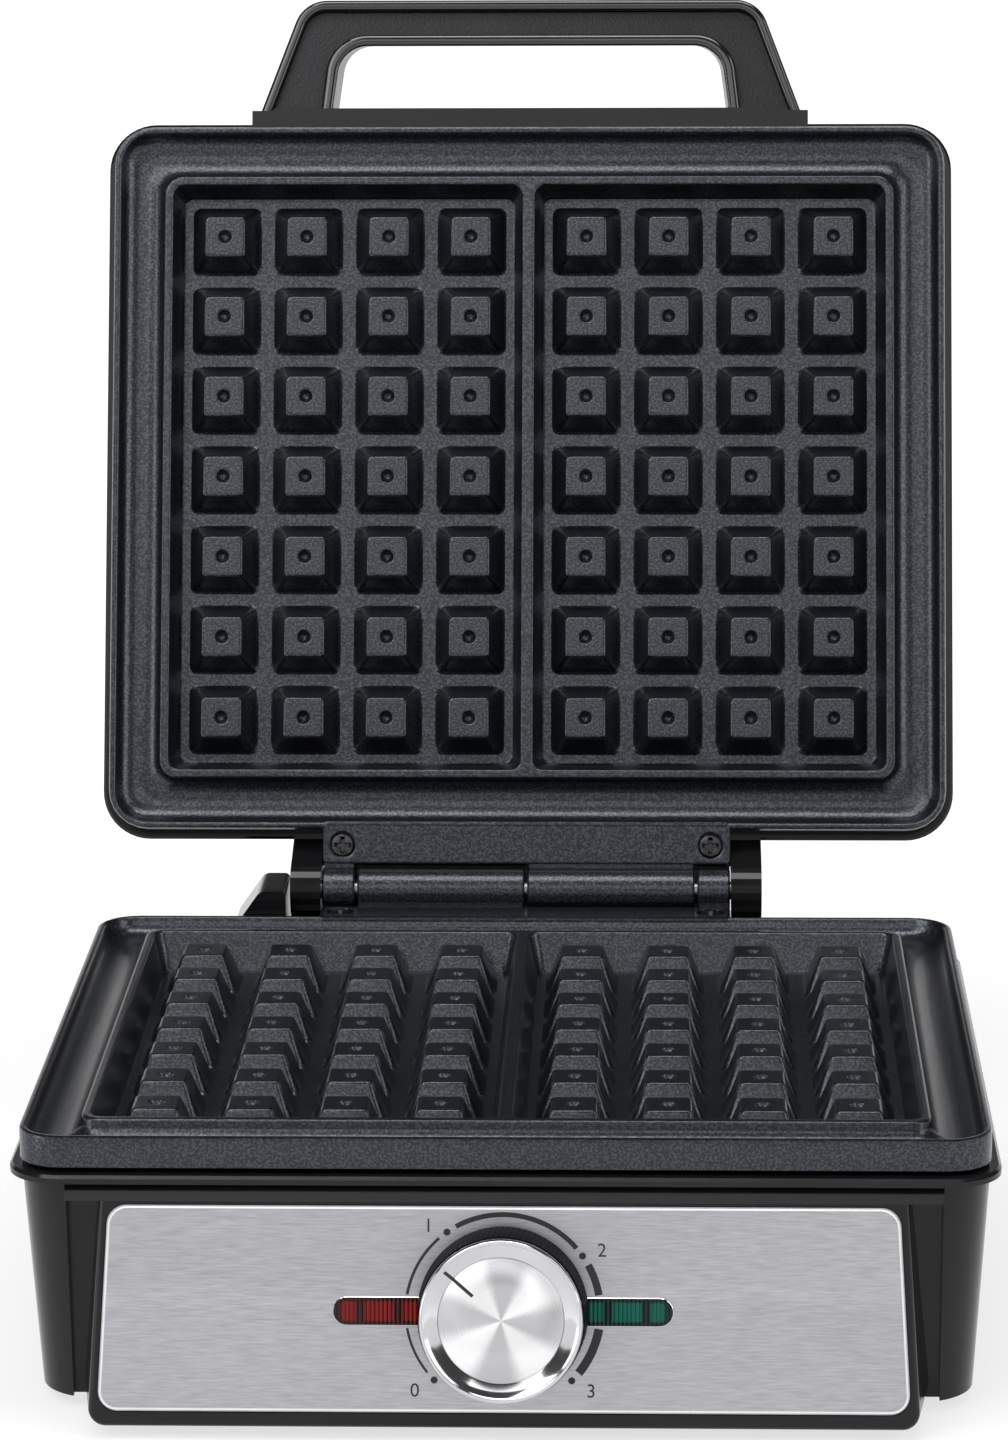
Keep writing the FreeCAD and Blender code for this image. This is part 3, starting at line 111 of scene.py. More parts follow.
# Knob
KNOB_LOW, KNOB_BASE_R, KNOB_WAIST_R, KNOB_SKIRT_TOP = 1.0, 20.4, 19.7, 14.6
KNOB_BORE_LOW, KNOB_BORE_TOP = 6.0, 4.0
FLUTES, FLUTE_STEPS, FLUTE_DEPTH, FLUTE_START, FLUTE_STOP = 96, 6, 0.22, 1.2, 0.6
SKIRT_UP, SKIRT_DOWN = (0.0, 0.5, 1.1, 1.3, 4.0, 8.0), (0.9, 0.4, 0.0)
KNOB_RIM_R, KNOB_BEAD, KNOB_TOP, KNOB_FACE_R, KNOB_DISH = 19.3, 1.1, 18.0, 14.9, 1.6
BEAD_OUTSIDE = ((0.0, 1.0), (0.1, 0.5), (0.35, 0.15), (0.6, 0.0))
BEAD_INSIDE = ((-0.1, 0.1), (0.1, 0.35), (0.3, 0.5))
DISH_W = 1.6
DISH_STEPS = ((DISH_W, 0.5), (0.2, 0.0), (0.0, -0.1))
FACE_EDGE, FACE_EYE, TURNED_STEPS = 0.25, 0.4, 160
POINTER_ANGLE, POINTER_IN, POINTER_OUT, POINTER_W = math.radians(139.0), 8.8, 17.6, 0.8
POINTER_LIFT, POINTER_EDGE_LIFT, POINTER_RING_LIFT, POINTER_END_DROP = 0.05, 0.06, 0.62, 0.62

# Dial print: arcs as (start, end, width) and numbers as (text, mark, beside, above)
DIAL_UP, DIAL_R = 28.3, 23.1
ARCS = ((219, 190, 0.6), (170, 131, 0.7), (119, 41, 1.2), (29, 10, 1.8), (-10, -39, 2.1))
ARC_STEP, ARC_LEAST = 3, 4
DOT_R, DOT_STEPS = 0.85, 20
NUMBER_SIZE = 4.6
NUMBERS = (("0", 225, -4.6, -2.6), ("1", 125.2, -4.4, 1.4), ("2", 35.3, 4.6, 1.2), ("3", -45, 4.6, -2.6))

# Angles in degrees beyond which an edge is shaded sharp
SHARP_PLAIN, SHARP_CAST, SHARP_TURNED, SHARP_SOFT = 35.0, 40.0, 50.0, 60.0

# Where on a factor from 0 to 1 the dark tone ends and the light tone starts
TONE_ENDS = (0.3, 0.7)

# Stage, light and camera; lengths in metres but for the camera's place
FLOOR_RINGS, FLOOR_STEPS = ((8.9, 2.6), (8.6, 1.2), (8.2, 0.3), (7.6, 0.0)), 96
FLOOR_DARK, FLOOR_LIGHT = (0.27, 0.27, 0.27), (0.29, 0.29, 0.29)
SHADE_NEAR, SHADE_FAR, SHADE_GLOW = 0.12, 0.6, 0.7
ROOM_LIGHT = 0.07
LAMPS = (
    ("key", (-0.9, -0.9, 1.5), (0, 0, 0.1), (1.0, 1.0), 13.0),
    ("fill", (1.3, -0.7, 0.9), (0, 0, 0.12), (0.7, 1.2), 8.0),
    ("top", (0.05, -0.25, 1.8), (0, 0.05, 0.1), (1.3, 0.7), 17.0),
    ("front", (-0.2, -2.1, 1.5), (0, 0, 0.15), (2.0, 0.9), 11.0),
    ("left", (-1.5, -0.7, 0.5), (0, -0.05, 0.1), (0.5, 0.9), 5.0),
)
CAMERA_YAW, CAMERA_PITCH, CAMERA_ROLL = math.radians(1.789), math.radians(13.30), math.radians(-0.312)
CAMERA_PLACE = Vector((36.83, -1252.45, 375.71 + STUD_LEVEL))
CAMERA_SENSOR, CAMERA_LENS, CAMERA_CLIP = 36.0, 127.8, 20.0

ON_BASE = Matrix.Translation((0, 0, STUD_LEVEL))
HINGE = Vector((0, HINGE_Y, STUD_LEVEL + HINGE_RISE))
ON_LID = (Matrix.Translation(HINGE) @ Matrix.Rotation(-OPEN_ANGLE, 4, "X") @ Matrix.Translation(-HINGE)
          @ Matrix.Translation((0, 0, STUD_LEVEL + CLOSED_GAP)) @ Matrix.Rotation(math.pi, 4, "Y"))
ON_PANEL = Matrix.Translation((0, CONSOLE_Y, CONSOLE_Z)) @ Matrix.Rotation(math.pi / 2 - PANEL_TILT, 4, "X")
ON_DIAL = ON_PANEL @ Matrix.Translation((0, DIAL_UP, 0))


# Node helpers for materials

def new_material(name, **sockets):
    """A Principled material with constant sockets, and its node tree."""
    material = bpy.data.materials.new(name)
    material.use_nodes = True
    tree = material.node_tree
    shader = tree.nodes["Principled BSDF"]
    for key, value in sockets.items():
        shader.inputs[key.replace("_", " ")].default_value = value
    return material, tree, shader


def connect(tree, shader, **sockets):
    """Links outputs to the shader's sockets of those names."""
    for key, output in sockets.items():
        tree.links.new(output, shader.inputs[key.replace("_", " ")])


def add_node(tree, kind, inputs=None, **settings):
    """A node with its settings, and with links or constants on its inputs."""
    node = tree.nodes.new(kind)
    for key, value in settings.items():
        setattr(node, key, value)
    for key, value in (inputs or {}).items():
        if isinstance(value, bpy.types.NodeSocket):
            tree.links.new(value, node.inputs[key])
        else:
            node.inputs[key].default_value = value
    return node


def compute(tree, operation, *values):
    """One step of arithmetic on numbers."""
    return add_node(tree, "ShaderNodeMath", dict(enumerate(values)), operation=operation).outputs[0]


def object_place(tree):
    """Object coordinates, in metres."""
    return add_node(tree, "ShaderNodeTexCoord").outputs["Object"]


def coordinates(tree, scale=(1, 1, 1)):
    """Object coordinates stretched by a scale."""
    return add_node(tree, "ShaderNodeMapping", {"Vector": object_place(tree), "Scale": scale}).outputs[0]


def noise(tree, vector, scale, detail=3.0):
    """Soft noise from 0 to 1."""
    return add_node(tree, "ShaderNodeTexNoise", {"Vector": vector, "Scale": scale, "Detail": detail}).outputs["Fac"]


def stretch(tree, value, source=(0.0, 1.0), target=(0.0, 1.0)):
    """A value moved from one range to another and held at its ends."""
    inputs = {"Value": value, "From Min": source[0], "From Max": source[1], "To Min": target[0], "To Max": target[1]}
    return add_node(tree, "ShaderNodeMapRange", inputs).outputs[0]


def uneven(tree, factor, value, low, high):
    """A value that changes between two shares of itself."""
    return stretch(tree, factor, target=(value * low, value * high))


def tint(tree, factor, dark, light):
    """Colour between two tones."""
    ramp = add_node(tree, "ShaderNodeValToRGB", {"Fac": factor})
    for element, colour, position in zip(ramp.color_ramp.elements, (dark, light), TONE_ENDS):
        element.color = (*colour, 1)
        element.position = position
    return ramp.outputs[0]


def bump(tree, shader, height, strength, distance):
    """Fine surface relief, its distance in metres."""
    node = add_node(tree, "ShaderNodeBump", {"Height": height, "Strength": strength, "Distance": distance})
    connect(tree, shader, Normal=node.outputs[0])


# Materials; noise scales are per metre

def plastic(name, dark, light, roughness, grain, grain_depth, shine=0.5):
    """Moulded plastic: slight tone change, uneven gloss and a fine grain."""
    material, tree, shader = new_material(name, Specular_IOR_Level=shine)
    place = coordinates(tree)
    wide, fine = noise(tree, place, scale=25.0), noise(tree, place, grain)
    connect(tree, shader, Base_Color=tint(tree, wide, dark, light),
            Roughness=uneven(tree, wide, roughness, low=0.8, high=1.25))
    bump(tree, shader, fine, strength=0.35, distance=grain_depth)
    return material


def coated_casting(name):
    """Dark non-stick coating with fine speckle over cast metal."""
    material, tree, shader = new_material(name, Metallic=0.8, Coat_Weight=0.3, Coat_Roughness=0.14)
    place = coordinates(tree)
    speckle, broad = noise(tree, place, scale=1600.0, detail=2.0), noise(tree, place, scale=40.0)
    grains = stretch(tree, speckle, source=(0.34, 0.72))
    connect(tree, shader, Base_Color=tint(tree, grains, dark=(0.0185, 0.021, 0.026), light=(0.052, 0.0575, 0.07)),
            Roughness=stretch(tree, broad, target=(0.28, 0.35)))
    bump(tree, shader, speckle, strength=0.7, distance=0.00012)
    return material


def brushed(name, dark, light, scale, roughness, anisotropy=0.0, relief=0.00003):
    """Metal brushed along one direction, or polished where it has no relief."""
    material, tree, shader = new_material(name, Metallic=1.0, Anisotropic=anisotropy)
    streaks = noise(tree, coordinates(tree, scale), scale=1.0, detail=4.0)
    connect(tree, shader, Base_Color=tint(tree, streaks, dark, light),
            Roughness=uneven(tree, streaks, roughness, low=0.75, high=1.3))
    if relief:
        bump(tree, shader, streaks, strength=0.12, distance=relief)
    return material


def spun_metal(name):
    """Disc turned on a lathe: fine rings, and painted highlights: light and dark wedges about the centre, in the
    base colour, stand in for the conic reflections of the turned face.
    """
    # Count, turn and weight of the painted highlight wedges
    highlight_fans, highlight_fan_turn, highlight_fan_weight = 4.0, 0.35, -0.42
    material, tree, shader = new_material(name, Metallic=1.0, Anisotropic=0.7, Roughness=0.42)
    place = object_place(tree)
    parts = add_node(tree, "ShaderNodeSeparateXYZ", {"Vector": place}).outputs
    turn = compute(tree, "ARCTAN2", parts["Y"], parts["X"])
    # Painted highlight: the base colour gets lighter and darker in wedges round the centre
    painted_fan = compute(tree, "COSINE", compute(tree, "MULTIPLY_ADD", turn, highlight_fans, highlight_fan_turn))
    flat = add_node(tree, "ShaderNodeVectorMath", {0: place, 1: (1, 1, 0)}, operation="MULTIPLY").outputs[0]
    radius = add_node(tree, "ShaderNodeVectorMath", {0: flat}, operation="LENGTH").outputs["Value"]
    along = add_node(tree, "ShaderNodeCombineXYZ", {"X": radius}).outputs[0]
    rings = noise(tree, along, scale=7000.0, detail=1.0)
    rings_and_painted_fans = compute(tree, "MULTIPLY_ADD", painted_fan, highlight_fan_weight, rings)
    around = add_node(tree, "ShaderNodeTangent", direction_type="RADIAL", axis="Z").outputs[0]
    connect(tree, shader, Base_Color=tint(tree, rings_and_painted_fans, dark=(0.52, 0.52, 0.535), light=(0.88, 0.88, 0.89)),
            Tangent=around)
    return material


def lens_plastic(name, deep, bright):
    """Clear coloured plastic with painted glints, lighter over three sets of ribs, and painted shade round its edge
    and at its round end.
    """
    # Painted glints: the base colour lightens over three sets of ribs, where light would catch them
    glint_scale, glint_phase, glint_edge = 34.9, 1.47, (0.04, 0.2)
    edge_shade_span, end_shade_span, cloudy = (0.0019, 0.0028), (0.0376, 0.0392), (0.7, 1.15)
    material, tree, shader = new_material(name, Roughness=0.3, Specular_IOR_Level=0.3)
    place = object_place(tree)
    parts = add_node(tree, "ShaderNodeSeparateXYZ", {"Vector": place}).outputs
    out, up = (compute(tree, "ABSOLUTE", parts[axis]) for axis in "XY")
    along = add_node(tree, "ShaderNodeCombineXYZ", {"X": out}).outputs[0]
    wave = add_node(tree, "ShaderNodeTexWave", {"Vector": along, "Scale": glint_scale, "Distortion": 0.0,
                                                "Phase Offset": glint_phase}, bands_direction="X").outputs["Fac"]
    painted_glints = stretch(tree, wave, source=glint_edge)
    # Painted shade: the glints give way to the deep tone towards the top and bottom edges and the round end
    for distance, shade_span in ((up, edge_shade_span), (out, end_shade_span)):
        painted_glints = compute(tree, "MULTIPLY", painted_glints, stretch(tree, distance, source=shade_span, target=(1.0, 0.0)))
    cloud = stretch(tree, noise(tree, place, scale=900.0), target=cloudy)
    painted_glints = compute(tree, "MULTIPLY", painted_glints, cloud)
    connect(tree, shader, Base_Color=tint(tree, painted_glints, deep, bright))
    bump(tree, shader, noise(tree, place, scale=300.0), strength=0.1, distance=0.00005)
    return material


def ink(name, dark, light):
    """Flat printed ink."""
    material, tree, shader = new_material(name, Roughness=0.5)
    grain = noise(tree, coordinates(tree), scale=2000.0)
    connect(tree, shader, Base_Color=tint(tree, grain, dark, light))
    return material


PLASTICS = {
    "gloss_black": dict(dark=(0.006, 0.006, 0.007), light=(0.009, 0.009, 0.01),
                        roughness=0.16, grain=500.0, grain_depth=0.00002, shine=0.3),
    "rim_black": dict(dark=(0.006, 0.006, 0.007), light=(0.009, 0.009, 0.01),
                      roughness=0.13, grain=500.0, grain_depth=0.00002, shine=0.7),
    "matte_black": dict(dark=(0.005, 0.005, 0.006), light=(0.009, 0.009, 0.01),
                        roughness=0.28, grain=1500.0, grain_depth=0.00005, shine=0.28),
    "skirt_black": dict(dark=(0.003, 0.003, 0.004), light=(0.006, 0.006, 0.007),
                        roughness=0.55, grain=1500.0, grain_depth=0.00005, shine=0.06),
    "textured_black": dict(dark=(0.004, 0.004, 0.005), light=(0.016, 0.016, 0.019),
                           roughness=0.36, grain=1300.0, grain_depth=0.0005, shine=0.32),
    "black_rubber": dict(dark=(0.015, 0.015, 0.015), light=(0.03, 0.03, 0.03),
                         roughness=0.75, grain=1200.0, grain_depth=0.0002, shine=0.3),
    "ceramic_block": dict(dark=(0.68, 0.64, 0.56), light=(0.8, 0.77, 0.7),
                          roughness=0.6, grain=900.0, grain_depth=0.0001),
    "lamp_glass": dict(dark=(0.75, 0.7, 0.6), light=(0.85, 0.8, 0.7),
                       roughness=0.1, grain=200.0, grain_depth=0.00002),
}
METALS = {
    "brushed_panel": dict(dark=(0.38, 0.376, 0.4), light=(0.5, 0.495, 0.522), scale=(190, 2600, 2600),
                          roughness=0.36, anisotropy=0.5),
    "bright_edge": dict(dark=(0.8, 0.8, 0.81), light=(0.9, 0.9, 0.91), scale=(80, 80, 80),
                        roughness=0.12, relief=0.0),
    "chrome_trim": dict(dark=(0.56, 0.56, 0.58), light=(0.64, 0.64, 0.66), scale=(60, 60, 60),
                        roughness=0.1, relief=0.0),
    "zinc_steel": dict(dark=(0.3, 0.3, 0.31), light=(0.45, 0.45, 0.46), scale=(900, 900, 900), roughness=0.34),
    "dark_steel": dict(dark=(0.03, 0.03, 0.032), light=(0.07, 0.07, 0.073), scale=(900, 900, 900), roughness=0.3),
    "heater_sheath": dict(dark=(0.2, 0.19, 0.18), light=(0.36, 0.35, 0.34), scale=(500, 500, 500), roughness=0.45),
    "bright_sheet": dict(dark=(0.66, 0.66, 0.67), light=(0.8, 0.8, 0.81), scale=(10, 900, 900),
                         roughness=0.25, anisotropy=0.4),
}
# Each lens: its deep tone, and the lighter tone of its painted glints
LENSES = {
    "red_lens": dict(deep=(0.03, 0.001, 0.001), bright=(0.2, 0.004, 0.004)),
    "green_lens": dict(deep=(0.0005, 0.012, 0.009), bright=(0.001, 0.11, 0.078)),
}
MATERIALS = {
    "coated_casting": coated_casting("coated_casting"),
    "spun_metal": spun_metal("spun_metal"),
    "dial_ink": ink("dial_ink", dark=(0.012, 0.012, 0.012), light=(0.018, 0.018, 0.018)),
}
for make, looks in ((plastic, PLASTICS), (brushed, METALS), (lens_plastic, LENSES)):
    MATERIALS.update({name: make(name, **look) for name, look in looks.items()})


# Mesh helpers, working in millimetres in a local frame

def polar(radius, turn, centre=(0, 0)):
    """Point on a circle."""
    return centre[0] + radius * math.cos(turn), centre[1] + radius * math.sin(turn)


def outline(half_x, half_y, radius, z, centre=(0, 0), steps=6):
    """Points of a rounded rectangle, anticlockwise."""
    points = []
    for sx, sy, turn in ((1, 1, 0), (-1, 1, 1), (-1, -1, 2), (1, -1, 3)):
        corner = (centre[0] + sx * (half_x - radius), centre[1] + sy * (half_y - radius))
        for i in range(steps + 1):
            points.append((*polar(radius, (turn + i / steps) * math.pi / 2, corner), z))
    return points


def circle(radius, z, count, centre=(0, 0), start=0.0):
    """Points of a circle, anticlockwise."""
    return [(*polar(radius, 2 * math.pi * (i + start) / count, centre), z) for i in range(count)]


def half_wave(share):
    """Runs softly from 0 to 1."""
    return 0.5 - 0.5 * math.cos(math.pi * share)


def add_ring(bm, points):
    """Vertices at these points."""
    return [bm.verts.new(p) for p in points]


def skin(bm, rings):
    """Quads between one closed ring of vertices and the next."""
    for low, high in zip(rings, rings[1:]):
        for i in range(len(low)):
            bm.faces.new((low[i - 1], low[i], high[i], high[i - 1]))


def strip(bm, rows):
    """Quads between one open row of vertices and the next."""
    for low, high in zip(rows, rows[1:]):
        for i in range(1, len(low)):
            bm.faces.new((low[i - 1], low[i], high[i], high[i - 1]))


def fill_between(bm, loops):
    """Flat face inside the first loop, with the others as holes."""
    edges = []
    for loop in loops:
        for i in range(len(loop)):
            edges.append(bm.edges.get((loop[i - 1], loop[i])) or bm.edges.new((loop[i - 1], loop[i])))
    bmesh.ops.triangle_fill(bm, use_beauty=True, edges=edges)


def to_mesh(bm, name, scale=1.0):
    """Mesh to scale with its faces turned outward; the bmesh is used up."""
    bmesh.ops.recalc_face_normals(bm, faces=bm.faces)
    bmesh.ops.scale(bm, vec=(scale, scale, scale), verts=bm.verts)
    mesh = bpy.data.meshes.new(name)
    bm.to_mesh(mesh)
    bm.free()
    return mesh


def add_object(name, data):
    """Object in the scene."""
    thing = bpy.data.objects.new(name, data)
    bpy.context.scene.collection.objects.link(thing)
    return thing


def settle(mesh, name, place, body, material):
    """Puts a mesh at its place, with its material, to ride on a body."""
    piece = add_object(name, mesh)
    metres = place.copy()
    metres.translation = place.translation * MM
    piece.matrix_world = metres
    mesh.materials.append(MATERIALS[material])
    bpy.context.view_layer.update()
    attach(piece, body)
    return piece


def finish_piece(bm, name, place, body, material, sharp=SHARP_PLAIN, stands_for=None):
    """Turns a bmesh in millimetres into a smooth piece, which may stand for a solid."""
    mesh = to_mesh(bm, name, MM)
    mesh.polygons.foreach_set("use_smooth", [True] * len(mesh.polygons))
    mesh.set_sharp_from_angle(angle=math.radians(sharp))
    piece = settle(mesh, name, place, body, material)
    if stands_for:
        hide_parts(stands_for)


# Waffle plates

def add_stud(bm, x, y):
    """Rounded pyramid stump with a flared foot, soft edges and a dimple."""
    low, high = STUD_BASE / 2, STUD_TOP / 2
    soft = (low - high) / STUD_HEIGHT * STUD_SOFT
    sections = [(low + outset, radius, -STUD_HEIGHT + rise) for outset, radius, rise in STUD_FOOT]
    sections += [(low - soft, STUD_LOW_R, -STUD_HEIGHT + STUD_SOFT), (high + soft, STUD_HIGH_R, -STUD_SOFT)]
    sections += [(high + outset, radius, -drop) for outset, radius, drop in STUD_CROWN]
    rings = [add_ring(bm, outline(h, h, r, z, (x, y), STUD_CORNER_STEPS)) for h, r, z in sections]
    count = len(rings[0])
    for share, depth in DIMPLE_STEPS:
        points = circle(DIMPLE_R * share, -DIMPLE_DEPTH * depth, count, (x, y), DIMPLE_TURN)
        rings.append(add_ring(bm, points))
    skin(bm, rings)
    bm.faces.new(rings[-1])


def add_pocket(bm, side):
    """One waffle's pocket with its studs; returns its top loop."""
    inner, outer = DIVIDER_TOP / 2, FLOOR_X + POCKET_DRAFT
    middle, half = side * (inner + outer) / 2, (outer - inner) / 2
    half_y = FLOOR_Y + POCKET_DRAFT
    sections = [(outset, RIM_TOP - drop) for outset, drop in POCKET_EDGE]
    sections += [(-POCKET_DRAFT - inset, -STUD_HEIGHT + rise) for inset, rise in POCKET_FOOT]
    rings = [add_ring(bm, outline(half + d, half_y + d, POCKET_R + d * POCKET_R_SHARE, z, (middle, 0)))
             for d, z in sections]
    skin(bm, rings)
    bm.faces.new(rings[-1])
    for column in range(COLUMNS):
        for row in range(ROWS):
            add_stud(bm, side * (COLUMN_GAP / 2 + column * PITCH_X), (row - (ROWS - 1) / 2) * PITCH_Y)
    return rings[0]


def add_border(bm):
    """Ridge edge, round gutter, rim, skirt and pan; returns the ridge's top loop."""
    width = GUTTER_W + RIM_W
    sections = [(outset, RIDGE_R, RIM_TOP - drop) for outset, drop in RIDGE_EDGE]
    for i in range(1, GUTTER_STEPS):
        share = i / GUTTER_STEPS
        corner = RIDGE_R + (RIM_R - RIM_W - RIDGE_R) * share
        depth = GUTTER_DEPTH * math.sin(math.pi * share) ** GUTTER_FULLNESS
        sections.append((GUTTER_W * half_wave(share), corner, RIM_TOP - depth))
    sections += [(GUTTER_W + outset, RIM_R - tighter, RIM_TOP - drop) for outset, tighter, drop in RIM_INSIDE]
    sections += [(width - inset, RIM_R - inset, RIM_TOP - drop) for inset, drop in RIM_OUTSIDE]
    sections += [(width - inset, RIM_R - inset, SKIRT_BOTTOM + rise) for inset, rise in SKIRT_EDGE]
    sections += [(0.0, RIDGE_R, SKIRT_BOTTOM), (-PAN_INSET, RIDGE_R, PAN_BOTTOM)]
    rings = [add_ring(bm, outline(RIDGE_X + d, RIDGE_Y + d, r, z)) for d, r, z in sections]
    skin(bm, rings)
    bm.faces.new(rings[-1])
    return rings[0]


def add_flange(bm):
    """Hinge flange behind the rim, with counterbores for its screws."""
    start = PLATE_Y - RIM_W
    half_y, middle = (FLANGE_END - start) / 2, (FLANGE_END + start) / 2
    sides = [(inset, RIM_TOP - drop) for inset, drop in FLANGE_EDGE] + [(0.0, SKIRT_BOTTOM)]
    walls = [add_ring(bm, outline(LUG_END - inset, half_y - inset, FLANGE_R, z, (0, middle))) for inset, z in sides]
    skin(bm, walls)
    bm.faces.new(walls[-1])
    floor = RIM_TOP - SCREW_HOLE_DEPTH
    sections = [(SCREW_HOLE_R + outset, RIM_TOP - drop) for outset, drop in SCREW_HOLE_EDGE]
    sections += [(SCREW_HOLE_R, floor), (SCREW_HOLE_R / 2, floor)]
    tops = []
    for x in (-SCREW_X, SCREW_X):
        rings = [add_ring(bm, circle(r, z, HOLE_STEPS, (x, SCREW_Y))) for r, z in sections]
        skin(bm, rings)
        tops.append(rings[0])
    fill_between(bm, [walls[0]] + tops)


def add_knuckle(bm, x0, x1, hinge_z):
    """Barrel round the pin, with its web to the flange."""
    small = KNUCKLE_R - KNUCKLE_SOFT
    sections = [(x0, KNUCKLE_BORE), (x0, small), (x0 + KNUCKLE_SOFT, KNUCKLE_R),
                (x1 - KNUCKLE_SOFT, KNUCKLE_R), (x1, small), (x1, KNUCKLE_BORE)]
    rings = [add_ring(bm, [(x, HINGE_Y + y, hinge_z + z) for y, z, _ in circle(r, 0, HOLE_STEPS)])
             for x, r in sections]
    skin(bm, rings)
    root = FLANGE_END - RIM_W
    web = [(root, SKIRT_BOTTOM + WEB_LIFT), (HINGE_Y, hinge_z - KNUCKLE_R + WEB_CLEAR),
           (HINGE_Y, hinge_z), (root, RIM_TOP - WEB_DROP)]
    ends = [add_ring(bm, [(x, y, z) for y, z in web]) for x in (x0 + WEB_INSET, x1 - WEB_INSET)]
    skin(bm, ends)
    for end in ends:
        bm.faces.new(end)


def waffle_plate(name, node, place, body, hinge_z):
    """One cast plate: two pockets, border, hinge flange and two knuckles."""
    bm = bmesh.new()
    holes = [add_pocket(bm, side) for side in (-1, 1)]
    fill_between(bm, [add_border(bm)] + holes)
    add_flange(bm)
    add_knuckle(bm, -KNUCKLE_GAP / 2 - BARREL_W, -KNUCKLE_GAP / 2, hinge_z)
    add_knuckle(bm, LUG_END - LUG_W, LUG_END, hinge_z)
    finish_piece(bm, name, place, body, "coated_casting", SHARP_CAST, node)


def plate_screws(name, node, place, body):
    """Sunk screws with a deep cross recess, in the plate's hinge flange."""
    bm = bmesh.new()
    crown, far, arm = RIM_TOP - SCREW_SUNK, CROSS_REACH, CROSS_ARM
    under = crown - SCREW_HEAD_H
    cross = [(arm, arm), (arm, far), (-arm, far), (-arm, arm), (-far, arm), (-far, -arm),
             (-arm, -arm), (-arm, -far), (arm, -far), (arm, -arm), (far, -arm), (far, arm)]
    head = [(SCREW_HEAD_R - inset, crown - drop) for inset, drop in SCREW_HEAD_EDGE]
    head += [(SCREW_HEAD_R, under), (SCREW_SHANK_R, under), (SCREW_SHANK_R, SKIRT_BOTTOM)]
    for x in (-SCREW_X, SCREW_X):
        rings = [add_ring(bm, circle(r, z, SCREW_STEPS, (x, SCREW_Y))) for r, z in head]
        skin(bm, rings)
        bm.faces.new(rings[-1])
        wells = [add_ring(bm, [(x + u * share, SCREW_Y + v * share, z) for u, v in cross])
                 for share, z in ((1.0, crown), (CROSS_FLOOR, crown - CROSS_DEPTH))]
        skin(bm, wells)
        bm.faces.new(wells[-1])
        fill_between(bm, [rings[0], wells[0]])
    finish_piece(bm, name, place, body, "dark_steel", stands_for=node)


# Handle rims and panel bevels

def handle_path(half_root, half_top, top, radius):
    """Three-sided loop in the lid's frame: up one leg, across the bar and down."""
    root, steps = -LIP_Y - HANDLE_HOLE_LOW, HANDLE_CORNER_STEPS
    corners = [Vector(p) for p in ((-half_root, root), (-half_top, top), (half_top, top), (half_root, root))]
    points = [corners[0]]
    for before, corner, after in zip(corners, corners[1:], corners[2:]):
        back, ahead = (before - corner).normalized(), (after - corner).normalized()
        half = back.angle(ahead) / 2
        centre = corner + (back + ahead).normalized() * radius / math.sin(half)
        first = corner + back * radius / math.tan(half) - centre
        last = corner + ahead * radius / math.tan(half) - centre
        for i in range(steps + 1):
            points.append(centre + (first * (1 - i / steps) + last * (i / steps)).normalized() * radius)
    return points + [corners[3]]


def outer_path(inset):
    """Loop inside the handle's outer edge."""
    lean = (HANDLE_ROOT_X - HANDLE_TOP_X) / HANDLE_REACH
    root = HANDLE_ROOT_X - lean * HANDLE_HOLE_LOW - inset
    top = HANDLE_TOP_X + lean * inset - inset
    return handle_path(root, top, -LIP_Y - HANDLE_REACH + inset, HANDLE_TOP_R - inset)


def inner_path(grow):
    """Loop outside the edge of the handle's opening."""
    root = HANDLE_ROOT_X - HANDLE_LEG + grow
    top_y = -LIP_Y - HANDLE_REACH + HANDLE_BAR - grow
    return handle_path(root, root - HANDLE_HOLE_LEAN, top_y, HANDLE_HOLE_R + grow)


def handle_rims():
    """Soft beads on the handle's two raised edges, either side of its grained channel."""
    for name, path, width in (("outer_bead", outer_path, CHANNEL_RIM), ("inner_bead", inner_path, CHANNEL_LIP)):
        bm = bmesh.new()
        rows = []
        for i in range(BEAD_STEPS + 1):
            share = i / BEAD_STEPS
            z = HANDLE_FACE_Z + BEAD_RISE * math.sin(math.pi * share)
            rows.append(add_ring(bm, [(p.x, p.y, z) for p in path(width * half_wave(share))]))
        strip(bm, rows)
        finish_piece(bm, name, ON_LID, "lid", "rim_black", SHARP_SOFT)


def panel_edge():
    """Bright bevel round the panel and its two windows."""
    bm = bmesh.new()
    mean_x = (PANEL_LOW_X + PANEL_TOP_X) / 2
    taper = (PANEL_LOW_X - PANEL_TOP_X) / PANEL_H
    middle = PANEL_LOW + PANEL_H / 2
    rings = []
    for inset, rise in PANEL_BEVEL:
        points = outline(mean_x - inset, PANEL_H / 2 - inset, PANEL_R - inset, PANEL_FRONT + rise)
        rings.append(add_ring(bm, [(x * (1 - taper * y / mean_x), y + middle, z) for x, y, z in points]))
    skin(bm, rings)
    start, tip = LENS_START + WINDOW_COVERED, LENS_END - LENS_H / 2
    for side in (-1, 1):
        rows = []
        for grow, rise in WINDOW_BEVEL:
            half = LENS_H / 2 + grow
            turns = [math.pi * (i / WINDOW_STEPS - 0.5) for i in range(WINDOW_STEPS + 1)]
            row = [(start, -half)] + [polar(half, turn, (tip, 0)) for turn in turns] + [(start, half)]
            rows.append(add_ring(bm, [(side * x, y + DIAL_UP, PANEL_FRONT + rise) for x, y in row]))
        strip(bm, rows)
    finish_piece(bm, "panel_bevel", ON_PANEL, "base", "bright_edge", SHARP_CAST)


# Knob, dial print and signal windows

